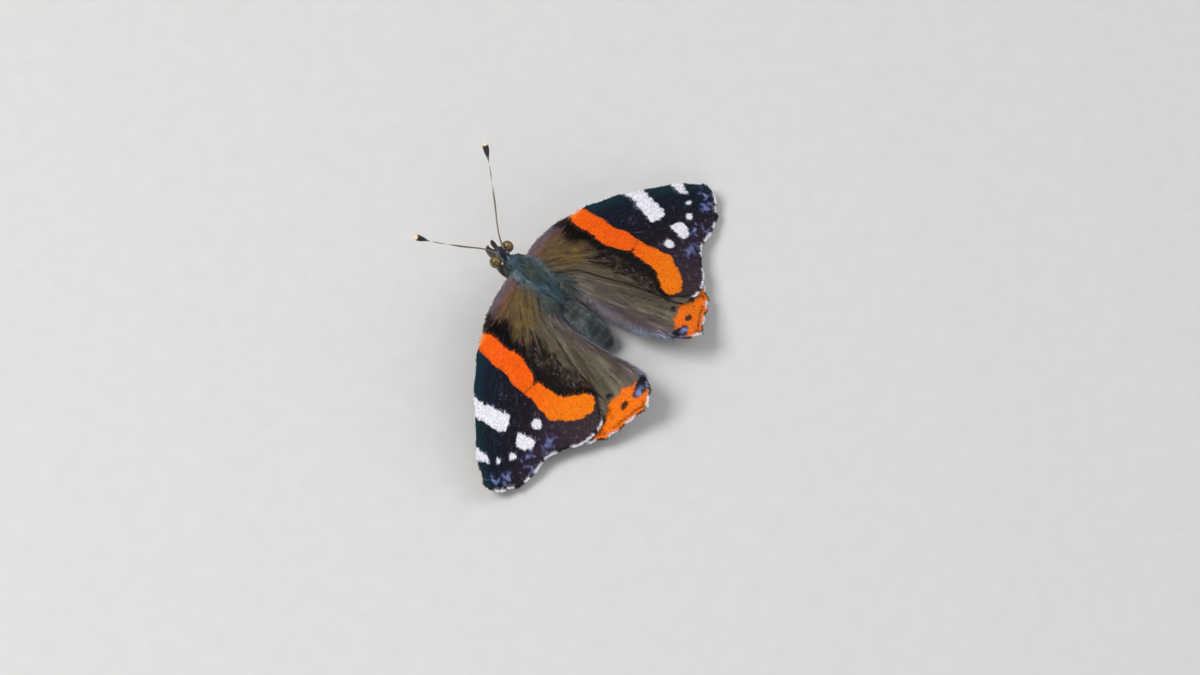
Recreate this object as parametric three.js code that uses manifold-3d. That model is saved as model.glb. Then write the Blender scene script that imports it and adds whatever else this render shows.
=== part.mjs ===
// Red admiral, Vanessa atalanta, at rest on the ground with its wings spread.
// Millimetres, +Z up, +X to the animal's right, +Y forward, feet on z = 0.
// The insect is built in its own terms, across, back and up from the line that joins the
// two forewing hinges, and place() turns these into model space.

import * as THREE from 'three';
import { mergeVertices } from 'three/addons/utils/BufferGeometryUtils.js';
import Module from 'manifold-3d';

const wasm = await Module();
wasm.setup();

// Driving dimensions
const HINGE_HEIGHT = 9.8;
const HINGE_FORWARD = 7.9;
const GAP = 0.3;
const WELD = 1e-4;

// Body: one straight axis, nose up
const BODY_PITCH = THREE.MathUtils.degToRad(25.4);
const BODY_DROP = 0.2;
const BODY_SIDES = 20;

// Wings
const MEMBRANE = 0.5;
const SHEET_LEVEL = 0.963;
const SHEET_SLOPE = [-0.170, -0.187];
const SHEET_CURVE = [0.00404, -0.01163, 0.00413];
const FOREWING_LIFT = 0.35;
const HINDWING_DROP = 0.65;
const VEIN_HEIGHT = [0.26, 0.12];
const VEIN_HALF_WIDTH = [0.24, 0.13];
const VEIN_SHARE = 0.36;

// Legs and feelers
const FOOT_SINK = 0.08;
const LEG_SIDES = 8;
const FLOOR_BLOCK = 80;

// Finishes
const FINISHES = {
  hair: { color: 0x46555a, roughness: 0.9, metalness: 0 },
  head: { color: 0x2c3238, roughness: 0.85, metalness: 0 },
  eye: { color: 0x8a6420, roughness: 0.35, metalness: 0 },
  forewing: { color: 0x2a2220, roughness: 0.75, metalness: 0 },
  hindwing: { color: 0x6a5b48, roughness: 0.8, metalness: 0 },
  antenna: { color: 0x3a3028, roughness: 0.6, metalness: 0 },
  leg: { color: 0x6b5237, roughness: 0.6, metalness: 0 },
  mouthpart: { color: 0x4b3d33, roughness: 0.7, metalness: 0 },
};

// Places on the insect

function place(across, back, up) {
  return new THREE.Vector3(across, HINGE_FORWARD - back, HINGE_HEIGHT + up);
}

function onBody(across, along, rise) {
  const back = along * Math.cos(BODY_PITCH) + rise * Math.sin(BODY_PITCH);
  const up = rise * Math.cos(BODY_PITCH) - along * Math.sin(BODY_PITCH) - BODY_DROP;
  return place(across, back, up);
}

// The surface that both wings of a side lie along
function wingSheet(across, back) {
  const slope = SHEET_SLOPE[0] * across + SHEET_SLOPE[1] * back;
  const twist = SHEET_CURVE[1] * across * back;
  const bow = SHEET_CURVE[0] * across * across + SHEET_CURVE[2] * back * back;
  return SHEET_LEVEL + slope + twist + bow;
}

// Closed solids

function toSolid(positions, indices) {
  const raw = new THREE.BufferGeometry();
  raw.setAttribute('position', new THREE.Float32BufferAttribute(positions, 3));
  raw.setIndex(indices);
  const merged = mergeVertices(raw, WELD);
  const index = merged.index.array;
  const kept = [];
  for (let i = 0; i < index.length; i += 3) {
    const [a, b, c] = [index[i], index[i + 1], index[i + 2]];
    if (a !== b && b !== c && c !== a) kept.push(a, b, c);
  }
  return new wasm.Manifold(new wasm.Mesh({
    numProp: 3,
    vertProperties: new Float32Array(merged.attributes.position.array),
    triVerts: new Uint32Array(kept),
  }));
}

function toGeometry(solid) {
  const bodies = solid.decompose();
  bodies.sort((a, b) => b.volume() - a.volume());
  const mesh = bodies[0].getMesh();
  const geometry = new THREE.BufferGeometry();
  geometry.setAttribute('position', new THREE.BufferAttribute(mesh.vertProperties, 3));
  geometry.setIndex(new THREE.BufferAttribute(mesh.triVerts, 1));
  geometry.computeVertexNormals();
  return geometry;
}

// Rings of points, all alike in number, joined into a closed body with a fan at each end
function loft(rings) {
  const sides = rings[0].length;
  const positions = [];
  const indices = [];
  for (const ring of rings) {
    for (const point of ring) positions.push(point.x, point.y, point.z);
  }
  for (let r = 0; r < rings.length - 1; r += 1) {
    for (let i = 0; i < sides; i += 1) {
      const a = r * sides + i;
      const b = r * sides + (i + 1) % sides;
      indices.push(a, b, b + sides, a, b + sides, a + sides);
    }
  }
  for (const [ring, last] of [[rings[0], false], [rings[rings.length - 1], true]]) {
    const middle = new THREE.Vector3();
    for (const point of ring) middle.addScaledVector(point, 1 / sides);
    const hub = positions.length / 3;
    positions.push(middle.x, middle.y, middle.z);
    const start = last ? (rings.length - 1) * sides : 0;
    for (let i = 0; i < sides; i += 1) {
      const a = start + i;
      const b = start + (i + 1) % sides;
      if (last) indices.push(hub, a, b);
      else indices.push(hub, b, a);
    }
  }
  return toSolid(positions, outward(positions, indices));
}

// Turns every triangle over where the body would come out inside out
function outward(positions, indices) {
  let volume = 0;
  const corner = (i) => new THREE.Vector3().fromArray(positions, 3 * i);
  for (let i = 0; i < indices.length; i += 3) {
    const a = corner(indices[i]);
    const b = corner(indices[i + 1]);
    const c = corner(indices[i + 2]);
    volume += a.dot(b.cross(c));
  }
  return volume > 0 ? indices : indices.slice().reverse();
}

// A round form along the body axis: stations of [along, half width, height above, depth below]
function bodyForm(stations, grow = 0) {
  const last = stations.length - 1;
  const way = Math.sign(stations[last][0] - stations[0][0]);
  const rings = stations.map(([along, width, above, below], n) => {
    const end = way * (n === 0 ? -1 : Number(n === last));
    const ring = [];
    for (let i = 0; i < BODY_SIDES; i += 1) {
      const turn = 2 * Math.PI * i / BODY_SIDES;
      const height = Math.sin(turn) > 0 ? above + grow : below + grow;
      ring.push(onBody((width + grow) * Math.cos(turn), along + end * grow, height * Math.sin(turn)));
    }
    return ring;
  });
  return loft(rings);
}

// A tapered limb through points, with a radius at each. A ring's side faces the same way as the
// last one's, so that the limb isn't wrung where it turns back.
function limb(points, radii, sides = LEG_SIDES) {
  let lastSide = null;
  const rings = points.map((point, n) => {
    const before = points[Math.max(n - 1, 0)];
    const after = points[Math.min(n + 1, points.length - 1)];
    const forward = after.clone().sub(before).normalize();
    const side = new THREE.Vector3(0, 0, 1).cross(forward);
    if (side.length() < 0.1) side.set(1, 0, 0).addScaledVector(forward, -forward.x);
    side.normalize();
    if (lastSide && side.dot(lastSide) < 0) side.negate();
    lastSide = side;
    const rise = forward.clone().cross(side).normalize();
    const ring = [];
    for (let i = 0; i < sides; i += 1) {
      const turn = 2 * Math.PI * (i + 0.5) / sides;
      ring.push(point.clone()
        .addScaledVector(side, radii[n] * Math.cos(turn))
        .addScaledVector(rise, radii[n] * Math.sin(turn)));
    }
    return ring;
  });
  return loft(rings);
}

function ball(centre, radii, widthParts, heightParts) {
  const sphere = new THREE.SphereGeometry(1, widthParts, heightParts);
  sphere.scale(radii[0], radii[1], radii[2]);
  sphere.rotateX(BODY_PITCH);
  sphere.translate(centre.x, centre.y, centre.z);
  return toSolid(Array.from(sphere.attributes.position.array), Array.from(sphere.index.array));
}

function floorBlock() {
  const box = new THREE.BoxGeometry(FLOOR_BLOCK, FLOOR_BLOCK, FLOOR_BLOCK);
  box.translate(0, 0, -FLOOR_BLOCK / 2);
  return toSolid(Array.from(box.attributes.position.array), Array.from(box.index.array));
}

function mirrored(solid) {
  return solid.mirror([1, 0, 0]);
}

// Body stations: [along, half width, height above, depth below]

const THORAX = [
  [-2.0, 1.05, 0.95, 1.15],
  [-1.5, 1.50, 1.30, 1.70],
  [-0.7, 2.00, 1.75, 2.25],
  [0.6, 2.40, 2.15, 2.65],
  [2.2, 2.60, 2.35, 2.85],
  [4.2, 2.60, 2.35, 2.75],
  [5.8, 2.42, 2.15, 2.45],
  [7.2, 2.02, 1.75, 1.95],
  [8.2, 1.50, 1.30, 1.40],
  [8.7, 1.15, 1.00, 1.05],
];

const HEAD = [
  [-2.3, 0.85, 0.80, 0.90],
  [-2.6, 1.15, 1.05, 1.15],
  [-3.2, 1.30, 1.15, 1.25],
  [-3.8, 1.15, 1.02, 1.15],
  [-4.25, 0.80, 0.72, 0.85],
  [-4.45, 0.40, 0.38, 0.45],
];

const EYE_AT = [1.65, -3.2, 0];
const EYE_RADII = [0.86, 0.94, 0.97];
const EYE_PARTS = [16, 10];

const ABDOMEN_START = 9.0;
const ABDOMEN_END = 18.6;
const ABDOMEN_RINGS = 7;
const RING_STATIONS = [0.04, 0.5, 0.96];
const ABDOMEN_HALF_WIDTH = 2.15;
const ABDOMEN_ABOVE = 0.90;
const ABDOMEN_BELOW = 0.94;
const SEGMENT_STEP = 0.06;

// Share of the abdomen's length, and of its greatest width there
const ABDOMEN_SWELL = [
  [0, 0.80], [0.10, 0.92], [0.25, 0.98], [0.40, 1.0], [0.55, 0.98], [0.70, 0.93],
  [0.80, 0.86], [0.88, 0.75], [0.94, 0.60], [0.98, 0.42], [1, 0.25],
];

function mix(from, to, share) {
  return from + (to - from) * share;
}

// The value at a share, from a table of shares and values
function between(table, share) {
  let n = 0;
  while (n < table.length - 2 && share > table[n + 1][0]) n += 1;
  const [s0, v0] = table[n];
  const [s1, v1] = table[n + 1];
  return mix(v0, v1, (share - s0) / (s1 - s0));
}

function abdomenStations() {
  const stations = [];
  const length = ABDOMEN_END - ABDOMEN_START;
  for (let n = 0; n < ABDOMEN_RINGS; n += 1) {
    for (const within of RING_STATIONS) {
      const share = (n + within) / ABDOMEN_RINGS;
      const step = 1 + SEGMENT_STEP * (within - 0.5);
      const half = ABDOMEN_HALF_WIDTH * between(ABDOMEN_SWELL, share) * step;
      stations.push([ABDOMEN_START + share * length, half, ABDOMEN_ABOVE * half, ABDOMEN_BELOW * half]);
    }
  }
  return stations;
}

// Wings

function stemPoint(stem, share) {
  return [between(stem, share), between(stem.map(([at, , back]) => [at, back]), share)];
}

// A vein runs along its stem to the fork and then in one bow to the margin
function veinPoint(vein, share) {
  if (share <= vein.fork) return stemPoint(vein.stem, share);
  const start = stemPoint(vein.stem, vein.fork);
  const t = (share - vein.fork) / (1 - vein.fork);
  const [bx, by] = vein.bend;
  const [ex, ey] = vein.end;
  const a = (1 - t) * (1 - t);
  const b = 2 * t * (1 - t);
  const c = t * t;
  return [a * start[0] + b * bx + c * ex, a * start[1] + b * by + c * ey];
}

function apart(p, q) {
  return Math.hypot(p[0] - q[0], p[1] - q[1]);
}

// The columns of one row of a wing: each vein is a foot, a crest and a foot
function wingRow(wing, share) {
  const paths = wing.veins.map((vein) => veinPoint(vein, share));
  const columns = [];
  wing.veins.forEach((vein, n) => {
    const here = paths[n];
    const raised = vein.raisedFrom !== undefined && share >= vein.raisedFrom;
    const high = raised ? mix(VEIN_HEIGHT[0], VEIN_HEIGHT[1], share) : 0;
    const wide = raised ? mix(VEIN_HALF_WIDTH[0], VEIN_HALF_WIDTH[1], share) : 0;
    const foot = (other) => {
      const distance = other ? apart(here, other) : 0;
      if (!other || distance < WELD || wide === 0) return [here[0], here[1], wide === 0 ? 0 : high];
      const reach = Math.min(wide, VEIN_SHARE * distance) / distance;
      return [mix(here[0], other[0], reach), mix(here[1], other[1], reach), 0];
    };
    if (n > 0) columns.push(foot(paths[n - 1]));
    columns.push([here[0], here[1], high]);
    const next = paths[n + 1];
    if (!next) return;
    columns.push(foot(next));
    if (apart(here, next) < WELD) {
      columns.push([here[0], here[1], high]);
      return;
    }
    const swell = vein.bulge ? vein.bulge * Math.pow(share, 6) : 0;
    const middle = [mix(here[0], next[0], 0.5), mix(here[1], next[1], 0.5)];
    const away = apart(middle, wing.hub);
    columns.push([
      middle[0] + swell * (middle[0] - wing.hub[0]) / away,
      middle[1] + swell * (middle[1] - wing.hub[1]) / away,
      0,
    ]);
  });
  return columns;
}

function wingSolid(wing) {
  const rows = wing.rows.map((share) => wingRow(wing, share));
  const wide = rows[0].length;
  const deep = rows.length;
  const positions = [];
  for (const side of [1, -1]) {
    for (const row of rows) {
      for (const [across, back, ridge] of row) {
        const up = wing.height(across, back) + side * MEMBRANE / 2 + (side > 0 ? ridge : 0);
        const point = place(across, back, up);
        positions.push(point.x, point.y, point.z);
      }
    }
  }
  const indices = [];
  const at = (r, c, side) => side * wide * deep + r * wide + c;
  for (let r = 0; r < deep - 1; r += 1) {
    for (let c = 0; c < wide - 1; c += 1) {
      const top = [at(r, c, 0), at(r, c + 1, 0), at(r + 1, c + 1, 0), at(r + 1, c, 0)];
      const low = [at(r, c, 1), at(r, c + 1, 1), at(r + 1, c + 1, 1), at(r + 1, c, 1)];
      indices.push(top[0], top[1], top[2], top[0], top[2], top[3]);
      indices.push(low[0], low[2], low[1], low[0], low[3], low[2]);
    }
  }
  const rim = [];
  for (let c = 0; c < wide - 1; c += 1) rim.push([0, c, 0, c + 1]);
  for (let r = 0; r < deep - 1; r += 1) rim.push([r, wide - 1, r + 1, wide - 1]);
  for (let c = wide - 1; c > 0; c -= 1) rim.push([deep - 1, c, deep - 1, c - 1]);
  for (let r = deep - 1; r > 0; r -= 1) rim.push([r, 0, r - 1, 0]);
  for (const [r0, c0, r1, c1] of rim) {
    indices.push(at(r0, c0, 0), at(r0, c0, 1), at(r1, c1, 1));
    indices.push(at(r0, c0, 0), at(r1, c1, 1), at(r1, c1, 0));
  }
  return toSolid(positions, outward(positions, indices));
}

// Stems: [share of the wing's length, across, back]
const FORE_EDGE = [[0, 1.4, 0.4], [0.5, 5.0, 0.05], [1, 9.0, 0.45]];
const FORE_SUBCOSTA = [[0, 1.4, 0.75], [0.5, 8.0, 1.15], [1, 15.5, 2.6]];
const FORE_RADIUS = [
  [0, 1.4, 1.1], [0.16, 6.0, 2.5], [0.34, 11.2, 4.6],
  [0.48, 15.0, 6.5], [0.64, 20.5, 8.7], [0.76, 23.8, 10.9],
];
const FORE_CELL = [[0, 1.45, 1.5], [0.30, 9.6, 6.0], [0.48, 15.2, 8.9]];
const FORE_CUBITUS = [
  [0, 1.5, 1.9], [0.16, 5.1, 4.5], [0.30, 9.0, 7.6], [0.40, 12.0, 10.3], [0.48, 14.3, 11.8],
];
const FORE_ANAL = [[0, 1.5, 2.6], [0.3, 5.9, 6.6], [0.64, 9.0, 14.2], [1, 10.8, 23.2]];
const FORE_HIND_EDGE = [[0, 1.4, 3.2], [0.3, 5.2, 7.1], [0.64, 8.2, 14.2], [1, 10.1, 21.4]];

const FOREWING = {
  hub: [3, 2],
  rows: [0, 0.08, 0.16, 0.23, 0.30, 0.34, 0.40, 0.44, 0.48, 0.56, 0.64, 0.70, 0.76, 0.84, 0.92, 1],
  height: (across, back) => wingSheet(across, back) + FOREWING_LIFT,
  veins: [
    { stem: FORE_EDGE, fork: 1 },
    { stem: FORE_SUBCOSTA, fork: 1, raisedFrom: 0 },
    { stem: FORE_RADIUS, fork: 0.34, bend: [15.6, 4.9], end: [20.0, 5.0], raisedFrom: 0 },
    { stem: FORE_RADIUS, fork: 0.44, bend: [19.0, 7.0], end: [24.0, 7.8], raisedFrom: 0 },
    { stem: FORE_RADIUS, fork: 0.64, bend: [24.5, 9.6], end: [28.3, 10.7], raisedFrom: 0, bulge: 0.3 },
    { stem: FORE_RADIUS, fork: 0.76, bend: [27.4, 12.1], end: [31.0, 14.0], raisedFrom: 0, bulge: 0.6 },
    { stem: FORE_RADIUS, fork: 0.76, bend: [26.8, 13.4], end: [29.9, 16.6], raisedFrom: 0 },
    { stem: FORE_RADIUS, fork: 0.48, bend: [20.5, 10.8], end: [28.2, 18.0], raisedFrom: 0, bulge: 0.3 },
    { stem: FORE_CELL, fork: 0.48, bend: [19.5, 12.6], end: [24.6, 18.9], raisedFrom: 0.56, bulge: -0.3 },
    { stem: FORE_CUBITUS, fork: 0.48, bend: [17.8, 14.6], end: [20.6, 19.8], raisedFrom: 0 },
    { stem: FORE_CUBITUS, fork: 0.40, bend: [15.6, 15.0], end: [17.8, 22.0], raisedFrom: 0, bulge: 0.5 },
    { stem: FORE_CUBITUS, fork: 0.30, bend: [12.4, 13.6], end: [14.0, 23.4], raisedFrom: 0, bulge: 0.2 },
    { stem: FORE_ANAL, fork: 1, raisedFrom: 0 },
    { stem: FORE_HIND_EDGE, fork: 1 },
  ],
};

const HIND_EDGE = [[0, 1.6, 3.9], [0.5, 6.0, 4.6], [1, 12.0, 9.4]];
const HIND_SUBCOSTA = [[0, 1.6, 4.3], [0.38, 7.0, 7.2], [0.72, 13.0, 12.2], [1, 16.6, 17.6]];
const HIND_RADIUS = [[0, 1.6, 4.8], [0.20, 4.8, 7.4], [0.38, 8.2, 11.0], [0.54, 10.8, 14.6]];
const HIND_CELL = [[0, 1.6, 5.1], [0.38, 7.2, 12.4], [0.63, 11.2, 18.6], [1, 14.4, 25.0]];
const HIND_CUBITUS = [[0, 1.6, 5.5], [0.20, 3.9, 8.4], [0.38, 6.2, 13.0], [0.54, 8.4, 17.4]];
const HIND_ANAL = [[0, 1.6, 5.9], [0.30, 3.6, 10.0], [0.63, 4.9, 19.0], [1, 5.6, 27.2]];
const HIND_INNER_EDGE = [[0, 1.6, 6.4], [0.30, 2.7, 10.4], [0.63, 2.6, 18.0], [1, 3.9, 25.4]];
const FOLD_START = 4.8;
const FOLD_REACH = 2.2;
const FOLD_DEPTH = 3.0;
const FOLD_POWER = 1.5;
const FOLD_GROWS = [6.5, 10.5];
const FOLD_FADES = [18, 27];
const FOLD_LOST = 0.8;

// The hindwing's inner strip bends down beside the abdomen
function hindHeight(across, back) {
  const inward = THREE.MathUtils.clamp((FOLD_START - across) / FOLD_REACH, 0, 1);
  const grown = THREE.MathUtils.smoothstep(back, ...FOLD_GROWS);
  const kept = 1 - THREE.MathUtils.smoothstep(back, ...FOLD_FADES) * FOLD_LOST;
  return wingSheet(across, back) - HINDWING_DROP - FOLD_DEPTH * Math.pow(inward, FOLD_POWER) * grown * kept;
}

const HINDWING = {
  hub: [3, 6],
  rows: [0, 0.1, 0.2, 0.3, 0.38, 0.46, 0.54, 0.63, 0.72, 0.81, 0.9, 1],
  height: hindHeight,
  veins: [
    { stem: HIND_EDGE, fork: 1 },
    { stem: HIND_SUBCOSTA, fork: 1, raisedFrom: 0 },
    { stem: HIND_RADIUS, fork: 0.38, bend: [12.6, 15.0], end: [17.0, 20.6], raisedFrom: 0 },
    { stem: HIND_RADIUS, fork: 0.54, bend: [13.4, 18.6], end: [16.2, 23.2], raisedFrom: 0 },
    { stem: HIND_CELL, fork: 1, raisedFrom: 0.54 },
    { stem: HIND_CUBITUS, fork: 0.54, bend: [10.9, 21.4], end: [12.5, 26.0], raisedFrom: 0 },
    { stem: HIND_CUBITUS, fork: 0.46, bend: [9.1, 20.6], end: [10.3, 26.8], raisedFrom: 0 },
    { stem: HIND_CUBITUS, fork: 0.30, bend: [6.6, 18.4], end: [7.8, 28.1], raisedFrom: 0 },
    { stem: HIND_ANAL, fork: 1, raisedFrom: 0 },
    { stem: HIND_INNER_EDGE, fork: 1 },
  ],
};

// Legs: points as [across, back, height above the floor], and a radius at each

function standing(across, back, height) {
  return place(across, back, height - HINGE_HEIGHT);
}

const MIDLEG = {
  points: [
    [0.9, 0.4, 7.2], [1.2, 0.0, 5.4], [1.6, 0.1, 5.0], [3.8, 1.0, 5.9], [5.6, 1.7, 6.2],
    [5.9, 1.8, 5.9], [6.3, 1.7, 3.6], [6.7, 1.5, 0.9], [7.0, 1.1, 0.24], [7.4, 0.2, 0.24],
    [7.8, -1.0, 0.22],
  ],
  radii: [0.62, 0.55, 0.44, 0.46, 0.38, 0.34, 0.31, 0.29, 0.30, 0.29, 0.25],
};

const HINDLEG = {
  points: [
    [0.9, 3.2, 6.4], [1.3, 2.9, 4.6], [1.7, 3.2, 4.2], [3.3, 5.0, 5.3], [4.6, 6.5, 5.9],
    [4.9, 6.9, 5.7], [5.8, 9.0, 3.4], [6.6, 11.2, 1.1], [6.9, 12.2, 0.24], [7.2, 14.2, 0.24],
    [7.6, 16.2, 0.22],
  ],
  radii: [0.62, 0.55, 0.44, 0.46, 0.38, 0.34, 0.31, 0.29, 0.30, 0.29, 0.25],
};

// The small forelegs are held against the breast: points as [across, along, rise] on the body
const FORELEG = {
  points: [
    [0.62, -1.0, 0.0], [0.75, -1.7, -1.6], [0.85, -1.9, -2.3], [0.85, -1.2, -2.85], [0.80, -0.2, -3.1],
  ],
  radii: [0.42, 0.40, 0.38, 0.34, 0.28],
};

function legSolid(leg) {
  return limb(leg.points.map((point) => standing(...point)), leg.radii);
}

// Feelers and mouthparts

const ANTENNA = [
  { at: [0.50, -2.7, 1.7], radius: 0.30 },
  { at: [1.2, -3.85, 2.95], radius: 0.25 },
  { at: [4.8, -7.2, 6.6], radius: 0.25 },
  { at: [8.54, -10.71, 10.5], radius: 0.26 },
  { at: [8.85, -11.05, 10.9], radius: 0.42 },
  { at: [9.3, -11.55, 11.45], radius: 0.56 },
  { at: [9.62, -11.9, 11.85], radius: 0.50 },
  { at: [9.78, -12.07, 12.05], radius: 0.28 },
];

const PALP = [
  { at: [0.80, -3.7, -0.85], radius: 0.30 },
  { at: [0.78, -4.35, -0.95], radius: 0.33 },
  { at: [0.70, -5.0, -0.55], radius: 0.33 },
  { at: [0.60, -5.5, 0.0], radius: 0.24 },
];

const COIL_CENTRE = [-4.3, -1.9];
const COIL_RADII = [1.15, 0.30];
const COIL_TURNS = 1.15;
const COIL_THICKNESS = [0.26, 0.22];
const COIL_STEPS = 20;
const COIL_SIDES = 6;
const COIL_ROOT = [0, -3.6, -0.6];

function antennaSolid() {
  const points = ANTENNA.map((joint) => place(...joint.at));
  return limb(points, ANTENNA.map((joint) => joint.radius));
}

function palpSolid() {
  const points = PALP.map((joint) => onBody(...joint.at));
  return limb(points, PALP.map((joint) => joint.radius));
}

// The tongue is wound up under the head
function proboscisSolid() {
  const points = [onBody(...COIL_ROOT)];
  const radii = [COIL_THICKNESS[0]];
  for (let n = 0; n <= COIL_STEPS; n += 1) {
    const share = n / COIL_STEPS;
    const turn = 2 * Math.PI * COIL_TURNS * share - Math.PI / 2;
    const reach = mix(COIL_RADII[0], COIL_RADII[1], share);
    const along = COIL_CENTRE[0] - reach * Math.cos(turn);
    points.push(onBody(0, along, COIL_CENTRE[1] - reach * Math.sin(turn)));
    radii.push(mix(COIL_THICKNESS[0], COIL_THICKNESS[1], share));
  }
  return limb(points, radii, COIL_SIDES);
}

// Assembly

const group = new THREE.Group();

function add(name, solid, finish) {
  const mesh = new THREE.Mesh(toGeometry(solid), new THREE.MeshStandardMaterial(FINISHES[finish]));
  mesh.name = name;
  group.add(mesh);
}

function addPair(name, solid, finish) {
  add(`${name}_right`, solid, finish);
  add(`${name}_left`, mirrored(solid), finish);
}

const thorax = bodyForm(THORAX);
const thoraxSpace = bodyForm(THORAX, GAP);
const head = bodyForm(HEAD);
const headSpace = bodyForm(HEAD, GAP);
const abdomen = bodyForm(abdomenStations());
const floor = floorBlock();

add('thorax', thorax, 'hair');
add('head', head, 'head');
add('abdomen', abdomen, 'hair');

const eye = ball(onBody(...EYE_AT), EYE_RADII, ...EYE_PARTS);
const eyeSpace = ball(onBody(...EYE_AT), EYE_RADII.map((radius) => radius + GAP), ...EYE_PARTS);
addPair('eye', eye.subtract(headSpace), 'eye');

addPair('antenna', antennaSolid().subtract(headSpace).subtract(eyeSpace), 'antenna');
addPair('palp', palpSolid().subtract(headSpace).subtract(eyeSpace), 'mouthpart');
add('proboscis', proboscisSolid().subtract(headSpace), 'mouthpart');

addPair('forewing', wingSolid(FOREWING).subtract(thoraxSpace), 'forewing');
addPair('hindwing', wingSolid(HINDWING).subtract(thoraxSpace), 'hindwing');

addPair('midleg', legSolid(MIDLEG).subtract(thoraxSpace).subtract(floor), 'leg');
addPair('hindleg', legSolid(HINDLEG).subtract(thoraxSpace).subtract(floor), 'leg');
addPair('foreleg', limb(FORELEG.points.map((point) => onBody(...point)), FORELEG.radii)
  .subtract(thoraxSpace).subtract(headSpace), 'leg');

export default group;
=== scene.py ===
# A red admiral at rest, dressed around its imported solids.
# Shapes are worked out in millimetres on the insect, across, back and up from the line that joins
# the two forewing hinges, and place() turns them into the frame's metres.

import math

import bmesh
import bpy
import numpy as np
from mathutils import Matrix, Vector


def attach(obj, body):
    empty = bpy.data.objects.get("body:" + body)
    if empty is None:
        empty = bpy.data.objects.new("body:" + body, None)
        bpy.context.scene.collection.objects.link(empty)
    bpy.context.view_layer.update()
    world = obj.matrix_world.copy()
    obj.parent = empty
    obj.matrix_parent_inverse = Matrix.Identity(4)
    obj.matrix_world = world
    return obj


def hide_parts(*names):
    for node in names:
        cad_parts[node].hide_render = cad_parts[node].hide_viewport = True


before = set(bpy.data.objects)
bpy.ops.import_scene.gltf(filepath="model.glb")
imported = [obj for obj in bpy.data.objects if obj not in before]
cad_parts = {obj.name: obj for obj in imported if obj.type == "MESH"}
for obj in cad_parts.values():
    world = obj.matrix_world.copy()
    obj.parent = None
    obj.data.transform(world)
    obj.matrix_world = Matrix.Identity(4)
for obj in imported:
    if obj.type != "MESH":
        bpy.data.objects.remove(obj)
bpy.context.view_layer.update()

# Driving dimensions in millimetres, the same as the solids'. The body leans nose-up by its pitch, and
# the lift and the drop part the two pairs of wings from the sheet that both follow.
MM = 0.001
HINGE_HEIGHT = 9.8
HINGE_FORWARD = 7.9
BODY_PITCH = math.radians(25.4)
BODY_DROP = 0.2
FOREWING_LIFT = 0.35
HINDWING_DROP = 0.65

# Finish sizes: the thin membranes, how far they lie from the middle of the solids, and the veins'
# relief, at the root and at the margin
MEMBRANE = 0.12
FOREWING_SETTLE = 0.15
HINDWING_RAISE = 0.18
VEIN_RISE = (0.16, 0.07)
VEIN_WIDTH = (0.17, 0.10)

rng = np.random.default_rng(20)


# Numbers and colours

def mix(a, b, share):
    return a + (b - a) * share


def smoothstep(x, low, high):
    t = np.clip((x - low) / (high - low), 0, 1)
    return t * t * (3 - 2 * t)


def srgb(red, green, blue):
    """A colour as it looks on a screen, 0 to 255, as linear values."""
    c = np.array([red, green, blue], float) / 255
    return np.where(c <= 0.04045, c / 12.92, ((c + 0.055) / 1.055) ** 2.4)


def lattice(x, y, z, seed):
    n = (x * 374761393 + y * 668265263 + z * 1440662683 + seed * 1274126177) & 0xFFFFFFFF
    n = ((n ^ (n >> 13)) * 1274126177) & 0xFFFFFFFF
    return ((n ^ (n >> 16)) & 0xFFFF) / 65535


def noise(points, size, seed):
    """Smooth noise from 0 to 1, with lumps about size across."""
    p = np.asarray(points, float) / size
    cell = np.floor(p).astype(np.int64)
    t = p - cell
    t = t * t * (3 - 2 * t)
    total = 0
    for corner in range(8):
        step = [(corner >> k) & 1 for k in range(3)]
        weight = 1
        for k in range(3):
            weight = weight * (t[..., k] if step[k] else 1 - t[..., k])
        total = total + weight * lattice(*(cell[..., k] + step[k] for k in range(3)), seed)
    return total


def flat_noise(x, y, size, seed):
    return noise(np.stack([x, y, np.zeros_like(x)], -1), size, seed)


def smooth_outline(points):
    """A closed outline with its corners cut twice."""
    p = np.asarray(points, float)
    for _ in range(2):
        q = np.roll(p, -1, 0)
        p = np.stack([0.75 * p + 0.25 * q, 0.25 * p + 0.75 * q], 1).reshape(-1, 2)
    return p


def depth_inside(outline, x, y):
    """How far each point lies inside a closed outline, below zero outside."""
    nearest = np.full(np.shape(x), np.inf)
    odd = np.zeros(np.shape(x), bool)
    for (ax, ay), (bx, by) in zip(outline, np.roll(outline, -1, 0)):
        dx, dy = bx - ax, by - ay
        t = np.clip(((x - ax) * dx + (y - ay) * dy) / max(dx * dx + dy * dy, 1e-12), 0, 1)
        nearest = np.minimum(nearest, np.hypot(x - ax - t * dx, y - ay - t * dy))
        crosses = (ay > y) != (by > y)
        odd ^= crosses & (x < ax + dx * (y - ay) / (dy if dy else 1e-12))
    return np.where(odd, nearest, -nearest)


def patch(points, x, y, soft=0.06, wander=0.16, seed=1):
    """How much of a marking shows at each point, from 0 to 1, with an edge that wanders a little."""
    depth = depth_inside(smooth_outline(points), x, y) + wander * (2 * flat_noise(x, y, 0.55, seed) - 1)
    return np.clip(0.5 + depth / (2 * soft), 0, 1)


def spot(centre, radii, x, y, soft=0.08, wander=0.1, seed=1):
    """The same for an oval marking."""
    reach = np.hypot((x - centre[0]) / radii[0], (y - centre[1]) / radii[1])
    depth = (1 - reach) * min(radii) + wander * (2 * flat_noise(x, y, 0.5, seed) - 1)
    return np.clip(0.5 + depth / (2 * soft), 0, 1)


def over(under, share, colour):
    """A coat of one colour over another, as thick as its share at each point."""
    return under + (colour - under) * np.clip(share, 0, 1)[..., None]


# Places on the insect, arrays of millimetres

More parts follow.
